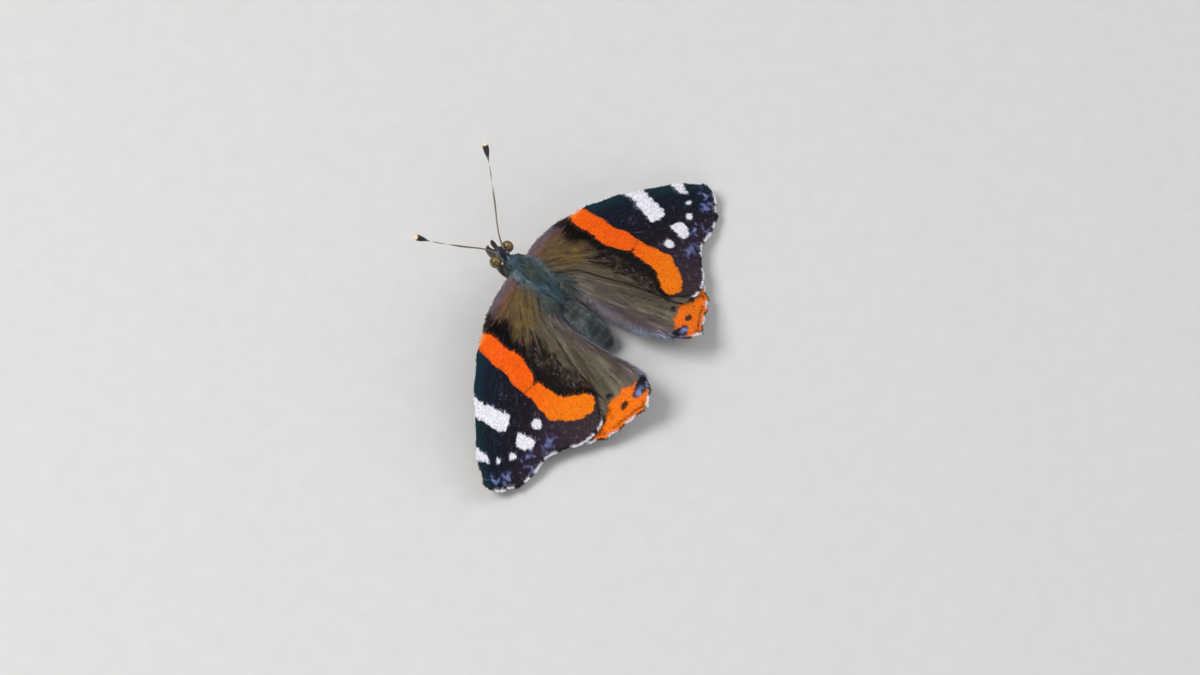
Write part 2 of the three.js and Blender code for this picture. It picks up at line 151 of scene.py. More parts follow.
def place(across, back, up):
    across, back, up = np.broadcast_arrays(across, back, up)
    return np.stack([across, HINGE_FORWARD - back, HINGE_HEIGHT + up], -1).astype(float)


def on_body(across, along, rise):
    back = along * math.cos(BODY_PITCH) + rise * math.sin(BODY_PITCH)
    up = rise * math.cos(BODY_PITCH) - along * math.sin(BODY_PITCH) - BODY_DROP
    return place(across, back, up)


def wing_sheet(across, back):
    return (0.963 - 0.170 * across - 0.187 * back
            + 0.00404 * across ** 2 - 0.01163 * across * back + 0.00413 * back ** 2)


FOLD_START = 4.8
FOLD_REACH = 2.2
FOLD_DEPTH = 3.0
FOLD_POWER = 1.5


def fore_height(across, back):
    return wing_sheet(across, back) + FOREWING_LIFT - FOREWING_SETTLE


def hind_height(across, back):
    inward = np.clip((FOLD_START - across) / FOLD_REACH, 0, 1)
    along = smoothstep(back, 6.5, 10.5) * (1 - smoothstep(back, 18, 27) * 0.8)
    return wing_sheet(across,
                      back) - HINDWING_DROP + HINDWING_RAISE - FOLD_DEPTH * inward ** FOLD_POWER * along


# Meshes

def unit(v):
    return v / np.maximum(np.linalg.norm(v, axis=-1, keepdims=True), 1e-12)


def make_piece(name, points, faces, material, nodes=(), colours=None, uv=None, weld=False):
    """A mesh piece from millimetre points and lists of equally long faces, riding on the body."""
    mesh = bpy.data.meshes.new(name)
    faces = [np.asarray(f) for f in faces if len(f)]
    loops = np.concatenate([f.ravel() for f in faces])
    totals = np.concatenate([np.full(len(f), f.shape[1]) for f in faces])
    mesh.vertices.add(len(points))
    mesh.vertices.foreach_set("co", (np.asarray(points) * MM).ravel())
    mesh.loops.add(len(loops))
    mesh.loops.foreach_set("vertex_index", loops.astype(np.int32))
    mesh.polygons.add(len(totals))
    mesh.polygons.foreach_set("loop_start", np.concatenate([[0], np.cumsum(totals)[:-1]]).astype(np.int32))
    mesh.polygons.foreach_set("loop_total", totals.astype(np.int32))
    mesh.polygons.foreach_set("use_smooth", np.full(len(totals), True))
    mesh.update(calc_edges=True)
    if colours is not None:
        paint = mesh.color_attributes.new("Paint", "FLOAT_COLOR", "POINT")
        rgba = np.concatenate([colours, np.ones((len(points), 1))], 1)
        paint.data.foreach_set("color", rgba.astype(np.float32).ravel())
    if uv is not None:
        layer = mesh.uv_layers.new(name="OFBake")
        layer.data.foreach_set("uv", np.asarray(uv)[loops].astype(np.float32).ravel())
    mesh.validate()
    if weld:
        work = bmesh.new()
        work.from_mesh(mesh)
        bmesh.ops.remove_doubles(work, verts=work.verts, dist=1e-7)
        bmesh.ops.recalc_face_normals(work, faces=work.faces)
        work.to_mesh(mesh)
        work.free()
    piece = bpy.data.objects.new(name, mesh)
    bpy.context.scene.collection.objects.link(piece)
    mesh.materials.append(material)
    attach(piece, "root")
    if nodes:
        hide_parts(*nodes)


def flip(points, way):
    return points * np.array([way, 1, 1])


def flip_faces(faces, way):
    return [f if way > 0 else f[:, ::-1] for f in faces]


def make_coat_piece(name, mesh, way, material):
    """A piece of scales or tufts, turned over for the left side."""
    points, quads, ends, colours, uv = mesh
    make_piece(name, flip(points, way), flip_faces([quads, ends], way), material, colours=colours,
               uv=uv)


def tube_faces(rings, sides):
    """Quads that join rings of points, and a fan of triangles to a hub at each end."""
    r, i = np.meshgrid(np.arange(rings - 1), np.arange(sides), indexing="ij")
    a = r * sides + i
    b = r * sides + (i + 1) % sides
    quads = np.stack([a, b, b + sides, a + sides], -1).reshape(-1, 4)
    i = np.arange(sides)
    end = (rings - 1) * sides
    hub = rings * sides
    low = np.stack([np.full(sides, hub), (i + 1) % sides, i], -1)
    high = np.stack([np.full(sides, hub + 1), end + i, end + (i + 1) % sides], -1)
    return quads, np.concatenate([low, high])


def tube_points(rings):
    """The points of stacked rings, with the middle of each end ring after them."""
    rings = np.asarray(rings)
    return np.concatenate([rings.reshape(-1, 3), rings[0].mean(0)[None], rings[-1].mean(0)[None]])


def limb_rings(path, radii, sides, flat=1.0):
    """Rings round a path of points, with a radius at each, none of them turned against the one before."""
    path = np.asarray(path, float)
    ahead = unit(np.gradient(path, axis=0))
    side = np.cross(np.array([0, 0, 1.0]), ahead)
    if np.linalg.norm(side[0]) < 0.1:
        side[0] = (1, 0, 0)
    side[0] = unit(side[0] - (side[0] @ ahead[0]) * ahead[0])
    for n in range(1, len(path)):
        side[n] = unit(side[n - 1] - (side[n - 1] @ ahead[n]) * ahead[n])
    rise = np.cross(ahead, side)
    turn = 2 * np.pi * (np.arange(sides) + 0.5) / sides
    radii = np.asarray(radii, float)[:, None, None]
    return (path[:, None] + radii * (np.cos(turn)[None, :, None] * side[:, None]
                                     + flat * np.sin(turn)[None, :, None] * rise[:, None]))


def resample(points, count):
    """A smooth path through points, with even steps."""
    p = np.asarray(points, float)
    t = np.concatenate([[0], np.cumsum(np.linalg.norm(np.diff(p[:, :3], axis=0), axis=1))])
    fine = np.linspace(0, t[-1], count)
    slope = np.gradient(p, t, axis=0)
    k = np.clip(np.searchsorted(t, fine, side="right") - 1, 0, len(t) - 2)
    h = (t[k + 1] - t[k])[:, None]
    u = ((fine - t[k]) / (t[k + 1] - t[k]))[:, None]
    a, b = p[k], p[k + 1]
    ma, mb = slope[k] * h, slope[k + 1] * h
    return ((2 * u ** 3 - 3 * u ** 2 + 1) * a + (u ** 3 - 2 * u ** 2 + u) * ma
            + (3 * u ** 2 - 2 * u ** 3) * b + (u ** 3 - u ** 2) * mb)


# Half the width of a scale's or tuft's own patch on the unwrap
PATCH_HALF = 0.0015
SCALE_QUADS = np.array([[2, 3, 1, 0], [5, 4, 0, 1], [4, 5, 3, 2]])
SCALE_ENDS = np.array([[4, 2, 0], [3, 5, 1]])
TUFT_QUADS = np.array([[3, 4, 1, 0], [4, 5, 2, 1], [5, 3, 0, 2]])
TUFT_ENDS = np.array([[0, 1, 2], [6, 4, 3], [6, 5, 4], [6, 3, 5]])


def scale_mesh(roots, ahead, normal, length, width, lift, thick, colours, uv):
    """Thin closed wedges that lie like tiles: narrow at the root and wide at the raised tip."""
    side = unit(np.cross(normal, ahead))
    length, width, lift = (np.asarray(v)[:, None] for v in (length, width, lift))
    tip = roots + ahead * length + normal * lift
    low = tip - normal * thick
    half = side * width / 2
    base = roots - normal * thick
    points = np.stack([base - 0.55 * half, base + 0.55 * half, tip - half, tip + half, low - half,
                       low + half], 1)
    offset = (6 * np.arange(len(roots)))[:, None, None]
    quads = (SCALE_QUADS[None] + offset).reshape(-1, 4)
    ends = (SCALE_ENDS[None] + offset).reshape(-1, 3)
    paint = np.repeat(colours, 6, axis=0)
    square = np.array([[-1, -1], [1, -1], [-1, 1], [1, 1], [-1, 1], [1, 1]]) * PATCH_HALF
    patches = (uv[:, None] + square[None]).reshape(-1, 2)
    return points.reshape(-1, 3), quads, ends, paint, patches


def tuft_mesh(roots, start, finish, length, width, colours, uv, tip_shade=1.0):
    """Thin three-sided hairs that leave along start and end along finish."""
    length, width = np.asarray(length)[:, None], np.asarray(width)[:, None]
    side = unit(np.cross(start, finish + 1e-4))
    rise = unit(np.cross(side, start))
    middle = roots + unit(start * 1.1 + finish * 0.4) * length * 0.5
    tip = middle + unit(finish) * length * 0.5
    corners = []
    for centre, size in ((roots, 1.0), (middle, 0.8)):
        for turn in (np.pi / 2, np.pi / 2 + 2.094, np.pi / 2 + 4.189):
            corners.append(centre + width * size * 0.5 * (math.cos(turn) * side + math.sin(turn) * rise))
    points = np.stack(corners + [tip], 1)
    offset = (7 * np.arange(len(roots)))[:, None, None]
    quads = (TUFT_QUADS[None] + offset).reshape(-1, 4)
    ends = (TUFT_ENDS[None] + offset).reshape(-1, 3)
    shade = np.array([0.75, 0.75, 0.75, 1, 1, 1, tip_shade])
    paint = (colours[:, None] * shade[None, :, None]).reshape(-1, 3)
    square = np.array([[-1, -1], [1, -1], [0, 0], [-1, 0], [1, 0], [0, 1], [0, 1]]) * PATCH_HALF
    patches = (uv[:, None] + square[None]).reshape(-1, 2)
    return points.reshape(-1, 3), quads, ends, paint, patches


def grow_tufts(name, way, material, roots, start, finish, length, width, shade, colours, uv, tip=1.1):
    """A piece of tufts, with their shades, lengths and widths drawn from the ranges given."""
    count = len(roots)
    tone = np.exp(rng.normal(*shade, (count, 1)))
    tall = rng.uniform(*length, count)
    thick = rng.uniform(*width, count)
    mesh = tuft_mesh(roots, start, finish, tall, thick, colours * tone, uv, tip)
    make_coat_piece(name, mesh, way, material)


# Wings: the same veins as the solids, each with its stem, fork, bend and end in plan

FORE_EDGE = [[0, 1.4, 0.4], [0.5, 5.0, 0.05], [1, 9.0, 0.45]]
FORE_SUBCOSTA = [[0, 1.4, 0.75], [0.5, 8.0, 1.15], [1, 15.5, 2.6]]
FORE_RADIUS = [
    [0, 1.4, 1.1], [0.16, 6.0, 2.5], [0.34, 11.2, 4.6], [0.48, 15.0, 6.5], [0.64, 20.5, 8.7],
    [0.76, 23.8, 10.9],
]
FORE_CELL = [[0, 1.45, 1.5], [0.30, 9.6, 6.0], [0.48, 15.2, 8.9]]
FORE_CUBITUS = [[0, 1.5, 1.9], [0.16, 5.1, 4.5], [0.30, 9.0, 7.6], [0.40, 12.0, 10.3], [0.48, 14.3, 11.8]]
FORE_ANAL = [[0, 1.5, 2.6], [0.3, 5.9, 6.6], [0.64, 9.0, 14.2], [1, 10.8, 23.2]]
FORE_HIND_EDGE = [[0, 1.4, 3.2], [0.3, 5.2, 7.1], [0.64, 8.2, 14.2], [1, 10.1, 21.4]]

HIND_EDGE = [[0, 1.6, 3.9], [0.5, 6.0, 4.6], [1, 12.0, 9.4]]
HIND_SUBCOSTA = [[0, 1.6, 4.3], [0.38, 7.0, 7.2], [0.72, 13.0, 12.2], [1, 16.6, 17.6]]
HIND_RADIUS = [[0, 1.6, 4.8], [0.20, 4.8, 7.4], [0.38, 8.2, 11.0], [0.54, 10.8, 14.6]]
HIND_CELL = [[0, 1.6, 5.1], [0.38, 7.2, 12.4], [0.63, 11.2, 18.6], [1, 14.4, 25.0]]
HIND_CUBITUS = [[0, 1.6, 5.5], [0.20, 3.9, 8.4], [0.38, 6.2, 13.0], [0.54, 8.4, 17.4]]
HIND_ANAL = [[0, 1.6, 5.9], [0.30, 3.6, 10.0], [0.63, 4.9, 19.0], [1, 5.6, 27.2]]
HIND_INNER_EDGE = [[0, 1.6, 6.4], [0.30, 2.6, 10.4], [0.63, 2.5, 18.0], [1, 3.9, 25.4]]

# A vein: stem, share of the stem at its fork, bend, end, share from which it is raised, bulge after it
FORE_VEINS = [
    (FORE_EDGE, 1, None, None, None, 0),
    (FORE_SUBCOSTA, 1, None, None, 0, 0),
    (FORE_RADIUS, 0.34, (15.6, 4.9), (20.0, 5.0), 0, 0),
    (FORE_RADIUS, 0.44, (19.0, 7.0), (24.0, 7.8), 0, 0),
    (FORE_RADIUS, 0.64, (24.5, 9.6), (28.3, 10.7), 0, 0.3),
    (FORE_RADIUS, 0.76, (27.4, 12.1), (31.0, 14.0), 0, 0.6),
    (FORE_RADIUS, 0.76, (26.8, 13.4), (29.9, 16.6), 0, 0),
    (FORE_RADIUS, 0.48, (20.5, 10.8), (28.2, 18.0), 0, 0.3),
    (FORE_CELL, 0.48, (19.5, 12.6), (24.6, 18.9), 0.48, -0.3),
    (FORE_CUBITUS, 0.48, (17.8, 14.6), (20.6, 19.8), 0, 0),
    (FORE_CUBITUS, 0.40, (15.6, 15.0), (17.8, 22.0), 0, 0.5),
    (FORE_CUBITUS, 0.30, (12.4, 13.6), (14.0, 23.4), 0, 0.2),
    (FORE_ANAL, 1, None, None, 0, 0),
    (FORE_HIND_EDGE, 1, None, None, None, 0),
]
HIND_VEINS = [
    (HIND_EDGE, 1, None, None, None, 0),
    (HIND_SUBCOSTA, 1, None, None, 0, 0),
    (HIND_RADIUS, 0.38, (12.6, 15.0), (17.0, 20.6), 0, 0),
    (HIND_RADIUS, 0.54, (13.4, 18.6), (16.2, 23.2), 0, 0),
    (HIND_CELL, 1, None, None, 0.54, 0),
    (HIND_CUBITUS, 0.54, (10.9, 21.4), (12.5, 26.0), 0, 0),
    (HIND_CUBITUS, 0.46, (9.1, 20.6), (10.3, 26.8), 0, 0),
    (HIND_CUBITUS, 0.30, (6.6, 18.4), (7.8, 28.1), 0, 0),
    (HIND_ANAL, 1, None, None, 0, 0),
    (HIND_INNER_EDGE, 1, None, None, None, 0),
]
FORE_HUB = np.array([3.0, 2.0])
HIND_HUB = np.array([2.4, 3.2])
WING_ROWS = 84
COLUMN_STEPS = (0, 0.05, 0.12, 0.22, 0.36, 0.5, 0.64, 0.78, 0.88, 0.95)
SCALLOP = 0.28


def vein_path(vein, share):
    """A vein in plan: along its stem to the fork, then in one bow to the margin."""
    stem, fork, bend, end, _, _ = vein
    stem = np.asarray(stem, float)
    path = np.stack([np.interp(share, stem[:, 0], stem[:, k]) for k in (1, 2)], -1)
    for _ in range(14):
        path[1:-1] = 0.5 * path[1:-1] + 0.25 * (path[:-2] + path[2:])
    if bend is None:
        return path
    start = np.array([np.interp(fork, share, path[:, k]) for k in (0, 1)])
    t = np.clip((share - fork) / (1 - fork), 0, 1)[:, None]
    bow = (1 - t) ** 2 * start + 2 * t * (1 - t) * np.array(bend) + t ** 2 * np.array(end)
    return np.where(share[:, None] > fork, bow, path)


def wing_grid(veins, hub):
    """The wing in plan as rows from root to margin of columns from front to hind edge."""
    share = np.linspace(0, 1, WING_ROWS)
    paths = [vein_path(vein, share) for vein in veins]
    columns = []
    for n in range(len(veins) - 1):
        apart = np.clip(np.hypot(*(paths[n + 1] - paths[n]).T), 0, 1)
        for step in COLUMN_STEPS:
            point = mix(paths[n], paths[n + 1], step)
            hump = 4 * step * (1 - step)
            swell = veins[n][5] * share ** 6 * hump - SCALLOP * share ** 30 * hump * (0 < n < len(veins) - 2)
            columns.append(point + (apart * swell)[:, None] * unit(point - hub))
    columns.append(paths[-1])
    return np.stack(columns, 1), paths


def vein_rise(veins, paths, x, y):
    """How far the veins raise the membrane at each point."""
    share = np.linspace(0, 1, WING_ROWS)
    total = np.zeros(np.shape(x))
    for vein, path in zip(veins, paths):
        if vein[4] is None:
            continue
        used = share >= vein[4]
        p, s = path[used], share[used]
        near = np.full(np.shape(x), np.inf)
        at = np.zeros(np.shape(x))
        for k in range(len(p) - 1):
            d = p[k + 1] - p[k]
            t = np.clip(((x - p[k, 0]) * d[0] + (y - p[k, 1]) * d[1]) / max(d @ d, 1e-9), 0, 1)
            far = np.hypot(x - p[k, 0] - t * d[0], y - p[k, 1] - t * d[1])
            closer = far < near
            near = np.where(closer, far, near)
            at = np.where(closer, mix(s[k], s[k + 1], t), at)
        rise = mix(*VEIN_RISE, at) * np.exp(-(near / mix(*VEIN_WIDTH, at)) ** 2)
        total = np.maximum(total, rise)
    return total


class Wing:
    """One kind of wing, with its plan, height and relief."""

    def __init__(self, name, veins, hub, height, slot):
        self.name, self.veins, self.hub, self.height, self.slot = name, veins, hub, height, slot
        self.grid, self.paths = wing_grid(veins, hub)
        grid = self.grid
        self.outline = np.concatenate([grid[:, 0], grid[-1, 1:-1], grid[::-1, -1]])

    def surface(self, x, y, side):
        """The height of the upper (1) or lower (-1) face."""
        rise = vein_rise(self.veins, self.paths, x, y)
        wave = 0.05 * (flat_noise(x, y, 2.6, 8) - 0.5)
        return self.height(x, y) + wave + side * (MEMBRANE / 2 + rise * (1 if side > 0 else 0.35))

    def frame(self, x, y, side):
        """Points on a face, with the face's normal and the way to the margin."""
        step = 0.12
        here = place(x, y, self.surface(x, y, side))
        east = place(x + step, y, self.surface(x + step, y, side)) - here
        back = place(x, y + step, self.surface(x, y + step, side)) - here
        normal = unit(np.cross(back, east)) * side
        away = unit(np.stack([x, y], -1) - self.hub)
        ahead = unit(away[:, :1] * unit(east) + away[:, 1:] * unit(back))
        return here, normal, ahead


fore = Wing("forewing", FORE_VEINS, FORE_HUB, fore_height, "forewing")
hind = Wing("hindwing", HIND_VEINS, HIND_HUB, hind_height, "hindwing")


# Markings, in the wing's plan

ORANGE_DEEP = srgb(255, 101, 0)
ORANGE_PALE = srgb(255, 132, 4)
WHITE = srgb(246, 244, 250)
# The cream of a painted highlight on the band's end by the front edge
HIGHLIGHT_CREAM = srgb(250, 225, 190)
VIOLET = srgb(140, 150, 210)

BAND = [
    (12.3, 1.5), (11.5, 2.3), (11.3, 3.7), (11.8, 5.3), (11.5, 7.0), (11.9, 9.3), (12.5, 10.3), (13.4, 11.7),
    (13.2, 13.3), (13.3, 16.0), (12.3, 17.3), (11.0, 18.7), (10.3, 19.7), (10.8, 20.8), (12.3, 21.3),
    (13.7, 20.8),
    (15.0, 19.7), (16.3, 17.7), (16.9, 16.7), (16.7, 15.3), (16.2, 13.3), (15.8, 11.7), (15.9, 10.0),
    (15.6, 9.0),
    (15.0, 7.7), (15.1, 6.0), (14.8, 4.0), (14.4, 2.3), (13.5, 1.3),
]
BAR = [
    (21.0, 5.2), (21.8, 5.5), (22.7, 6.3), (23.1, 6.9), (23.4, 7.9), (23.3, 9.0), (23.1, 10.2), (23.1, 11.2),
    (22.6, 11.9), (21.7, 12.1), (20.7, 11.7), (19.8, 11.5), (20.1, 10.6), (20.1, 9.9), (20.6, 9.0),
    (20.6, 8.2),
    (21.0, 7.5), (20.9, 6.6), (20.8, 5.8),
]
STREAK = [
    (27.7, 9.9), (28.3, 10.5), (28.7, 11.2), (28.4, 11.6), (28.2, 12.2), (27.7, 13.0), (27.3, 12.4),
    (27.0, 11.5),
    (27.0, 10.9),
]
DISC = [
    (22.1, 13.8), (22.9, 14.2), (23.3, 15.0), (23.1, 15.8), (22.3, 16.3), (21.5, 16.7), (20.8, 16.4),
    (20.7, 15.6),
    (20.9, 14.7), (21.4, 14.0),
]
# At each distance back: where the band's inner edge lies, and how far the black and the dark reach inside it
BAND_INNER = (
    (1.5, 12.3), (2.3, 11.5), (3.7, 11.3), (5.3, 11.8), (7.0, 11.5), (9.3, 11.9), (10.3, 12.5), (11.7, 13.4),
    (13.3, 13.2), (16.0, 13.3), (17.3, 12.3), (18.7, 11.0), (19.7, 10.3), (21.0, 10.8), (22.5, 12.6),
    (24, 14),
)
BLACK_REACH = (
    (2, 1.6), (4, 1.7), (6, 1.0), (7.5, 0.8), (9, 1.4), (12, 2.2), (15, 2.0), (18, 1.3), (20, 0.7),
    (24, 0.3),
)
DARK_REACH = (
    (2, 2.2), (4, 2.2), (6, 1.9), (7.5, 2.6), (9, 3.8), (12, 5.2), (15, 5.0), (18, 3.4), (20, 1.6),
    (24, 0.6),
)
FORE_FRONT = (
    (3, 0), (8, 0.3), (12.5, 1.5), (17, 3.3), (20, 5), (23, 7), (26, 9.2), (28.5, 10.9), (31, 14),
)
# The middles and reaches of the white stretches of the fringe, between the ends of the veins
WHITE_FRINGE = (
    (30.2, 16.1, 0.8), (28.9, 17.3, 0.6), (26.4, 18.7, 0.6), (23.9, 18.7, 1.0), (21.3, 19.5, 1.1),
    (17.6, 22.2, 1.2), (15.9, 23.2, 0.9), (13.4, 23.5, 0.9), (13.6, 25.9, 1.0), (10.4, 27.2, 1.1),
    (6.8, 27.9, 1.0),
)
MARGIN_BAND = [
    (4.8, 24.7), (6.5, 23.9), (8.0, 22.9), (10.5, 22.3), (11.2, 23.2), (13.0, 23.5), (16.6, 22.9),
    (15.9, 24.3),
    (14.2, 25.3), (12.5, 26.2), (10.5, 26.9), (8.5, 27.7), (6.2, 27.3), (5.2, 26.6), (7.5, 25.8),
    (7.6, 25.0),
]


def margin_depth(wing, x, y):
    return depth_inside(wing.outline[::3], x, y)


def streaks(x, y, hub, seed, fine=0.35):
    """Noise drawn out along the way from root to margin."""
    angle = np.arctan2(y - hub[1], x - hub[0])
    reach = np.hypot(x - hub[0], y - hub[1])
    return noise(np.stack([angle * 9 / fine, reach / 3.2, np.zeros_like(x)], -1), 1.0, seed)


def paint_fore_base(x, y, costa):
    """The brown inner part: streaked hair and scales, reddish by the front edge and golden in the middle."""
    coarse = flat_noise(x, y, 1.6, 31)
    base = over(np.broadcast_to(srgb(126, 104, 68), x.shape + (3,)), coarse, srgb(96, 78, 54))
    base = over(base, smoothstep(streaks(x, y, FORE_HUB, 5), 0.35, 0.85) * 0.65, srgb(136, 116, 84))
    base = over(base, smoothstep(streaks(x, y, FORE_HUB, 6, 0.22), 0.55, 0.9) * 0.6, srgb(54, 42, 32))
    gold = np.clip(2.6 * flat_noise(x, y, 0.8, 33) - 1.0, 0, 1)
    base = over(base, spot((6.8, 5.6), (2.6, 2.0), x, y, soft=1.2, wander=0.8, seed=7) * gold * 0.5,
                srgb(158, 128, 52))
    base = over(base, smoothstep(y - 0.55 * x, 2.2, 5.0) * 0.8, srgb(108, 99, 82))
    base = over(base, smoothstep(3.6 - x, 0, 1.3) * 0.6, srgb(94, 102, 102))
    base = over(base, smoothstep(3.2 - costa, 0, 2.6) * 0.7, srgb(122, 76, 62))
    return over(base, smoothstep(1.25 - costa, -0.1, 0.6) * 0.85, srgb(104, 94, 104))


def paint_fore_top(x, y):
    edge = margin_depth(fore, x, y)
    costa = y - np.interp(x, *zip(*FORE_FRONT))
    coat = np.broadcast_to(srgb(22, 15, 26), x.shape + (3,)).copy()
    # Painted reflection: the teal-blue on the black along the front edge stands in for the sky reflected in
    # the scales.
    coat = over(coat, smoothstep(8.5 - costa, 0, 7.0), srgb(8, 22, 40))
    coat = over(coat, smoothstep(costa + 0.35 * x, 14.5, 21) * 0.8, srgb(54, 40, 54))
    coat = over(coat, smoothstep(y, 16.5, 22) * smoothstep(21 - x, 0, 5) * 0.75, srgb(66, 50, 48))
    # Painted reflection: a brighter teal sky reflection on the black by the front edge, beyond the band.
    coat = over(coat, smoothstep(2.6 - costa, 0, 2.4) * smoothstep(x, 13, 16) * 0.7, srgb(18, 52, 60))
    fleck = smoothstep(flat_noise(x, y, 0.24, 35), 0.78, 0.92) * smoothstep(costa, 2.0, 6.0)
    coat = over(coat, fleck * 0.5, srgb(104, 94, 122))
    gap = np.interp(y, *zip(*BAND_INNER)) - x
    wander = 1.3 * (streaks(x, y, FORE_HUB, 14, 0.3) - 0.5) + 0.9 * (flat_noise(x, y, 1.1, 12) - 0.5)
    base = paint_fore_base(x, y, costa)
    mottle = flat_noise(x, y, 0.5, 15)
    dark = mix(srgb(34, 24, 20), srgb(76, 58, 44), smoothstep(mottle, 0.45, 0.95)[..., None])
    dark = over(dark, smoothstep(flat_noise(x, y, 0.19, 16), 0.80, 0.93) * 0.7, srgb(156, 148, 154))
    base = over(base, smoothstep(np.interp(y, *zip(*DARK_REACH)) - gap + 2.0 * wander, -1.3, 1.0), dark)
    black = smoothstep(np.interp(y, *zip(*BLACK_REACH)) - gap + 0.7 * wander, -0.35, 0.35)
    base = over(base, black * (costa > 0.7), srgb(16, 11, 9))
    coat = over(coat, smoothstep(gap, -0.1, 0.1), base)
    orange = mix(ORANGE_DEEP, ORANGE_PALE, smoothstep(y, 9, 19)[..., None])
    coat = over(coat, patch(BAND, x, y, seed=4), orange)
    # The band's end by the front edge: paler orange, partly its own colour and partly a painted highlight,
    # with a cream painted highlight at its core.
    tip = [(12.0, 1.2), (12.6, 1.2), (14.3, 1.6), (14.3, 2.2), (13.0, 2.4), (12.0, 2.2)]
    coat = over(coat, patch(tip, x, y, soft=0.3, seed=5) * 0.8, srgb(255, 160, 70))
    highlight_tip = [(12.3, 1.1), (14.0, 1.5), (13.7, 1.9), (12.5, 1.8)]
    coat = over(coat, patch(highlight_tip, x, y, soft=0.2, seed=5), HIGHLIGHT_CREAM)
    notch = [(12.6, 10.9), (13.6, 11.7), (14.6, 11.5), (14.7, 11.7), (13.7, 12.05), (12.9, 11.9)]
    notch = patch(notch, x, y, wander=0.1)
    line = patch([(14.5, 11.4), (16.1, 11.2), (16.1, 11.4), (14.5, 11.65)], x, y, wander=0.05)
    coat = over(coat, notch * 0.85 + line * 0.4, srgb(60, 22, 8))
    for centre, radii in (((18.6, 15.3), (0.70, 0.72)), ((24.85, 15.0), (0.58, 0.46)),
                          ((26.75, 13.7), (0.40, 0.30))):
        coat = over(coat, spot(centre, radii, x, y, seed=9), WHITE)
    ragged = 0.34 * (streaks(x, y, FORE_HUB, 19, 0.12) - 0.5)
    for outline in (BAR, STREAK, DISC):
        coat = over(coat, patch(outline, x + ragged, y + ragged, seed=6), WHITE)
    powder = np.clip(4.0 * flat_noise(x, y, 0.40, 17) - 1.8, 0, 1)
    for centre, radii in (((20.3, 18.4), (1.1, 0.6)), ((23.5, 17.2), (1.3, 0.8)), ((28.1, 16.1), (0.8, 0.6)),
                          ((29.6, 14.6), (0.6, 1.0)), ((24.4, 18.3), (0.6, 0.5))):
        coat = over(coat, spot(centre, radii, x, y, soft=0.5, wander=0.4, seed=13) * powder * 0.8, VIOLET)
    crescents = fringe_white(x, y) * smoothstep(0.20 - edge, 0, 0.10) * (x > 12)
    coat = over(coat, crescents, WHITE)
    return over(coat, (edge < 0.24) * (costa > 1.2) * (x > 12) * (1 - crescents) * 0.8, srgb(36, 26, 26))


def fringe_white(x, y):
    white = np.zeros(np.shape(x))
    for cx, cy, reach in WHITE_FRINGE:
        white = np.maximum(white, np.clip(3.2 - np.hypot(x - cx, y - cy) / reach * 2.6, 0, 1))
    return white


def paint_hind_top(x, y):
    edge = margin_depth(hind, x, y)
    coat = np.broadcast_to(srgb(116, 106, 86), x.shape + (3,)).copy()
    coat = over(coat, smoothstep(streaks(x, y, HIND_HUB, 21, 0.22), 0.4, 0.9) * 0.7, srgb(78, 66, 54))
    coat = over(coat, smoothstep(streaks(x, y, HIND_HUB, 22, 0.26), 0.5, 0.95) * 0.7, srgb(152, 144, 126))
    coat = over(coat, spot((10, 15), (3.5, 5.5), x, y, soft=1.2, wander=0.5) * 0.2, srgb(58, 44, 34))
    violet_grey = mix(srgb(98, 92, 104), srgb(146, 140, 152), streaks(x, y, HIND_HUB, 23, 0.2)[..., None])
    mauve = smoothstep(6.4 - x, 0, 1.8) * smoothstep(y, 7, 10)
    mauve = mauve * smoothstep(streaks(x, y, HIND_HUB, 24, 0.2), 0.2, 0.6)
    coat = over(coat, mauve * 0.8, srgb(96, 78, 84))
    coat = over(coat, smoothstep(3.9 - x, 0, 1.1) * smoothstep(y, 8, 11) * 0.8, violet_grey)
    coat = over(coat, smoothstep(4.4 - x, 0, 1.6) * (1 - smoothstep(y, 8, 11)) * 0.7, srgb(76, 94, 98))
    coat = over(coat, smoothstep(y, 19.5, 22.5) * smoothstep(x, 9.5, 12) * 0.8, srgb(46, 34, 30))
    orange = mix(ORANGE_DEEP, ORANGE_PALE, 0.45 + 0.5 * flat_noise(x, y, 1.6, 40)[..., None])
    coat = over(coat, patch(MARGIN_BAND, x, y, soft=0.1, wander=0.3, seed=14), orange)
    tip = [(3.9, 24.7), (6.9, 24.7), (7.6, 25.4), (5.6, 26.7), (4.0, 26.2)]
    coat = over(coat, patch(tip, x, y, soft=0.2, wander=0.3, seed=15), srgb(18, 14, 30))
    for centre in ((6.4, 25.7), (4.6, 26.2)):
        coat = over(coat, spot(centre, (0.6, 0.36), x, y, soft=0.25, wander=0.2, seed=16) * 0.9, VIOLET)
    for centre, radii, share in (((8.9, 22.1), (0.5, 0.4), 0.95), ((9.1, 24.8), (0.8, 0.34), 0.95),
                                 ((11.6, 24.2), (0.3, 0.16), 0.45), ((13.7, 23.7), (0.28, 0.14), 0.45)):
        coat = over(coat, spot(centre, radii, x, y, soft=0.12, wander=0.18, seed=18) * share,
                    srgb(26, 16, 14))
    broken = smoothstep(flat_noise(x, y, 1.1, 19), 0.30, 0.45)
    line = np.clip(1.2 - np.abs(edge - 0.62) / 0.16, 0, 1) * smoothstep(y, 22.5, 24.5) * broken
    coat = over(coat, line * 0.9, srgb(40, 24, 14))
    return over(coat, fringe_white(x, y) * smoothstep(0.20 - edge, 0, 0.10) * (y > 21), WHITE)


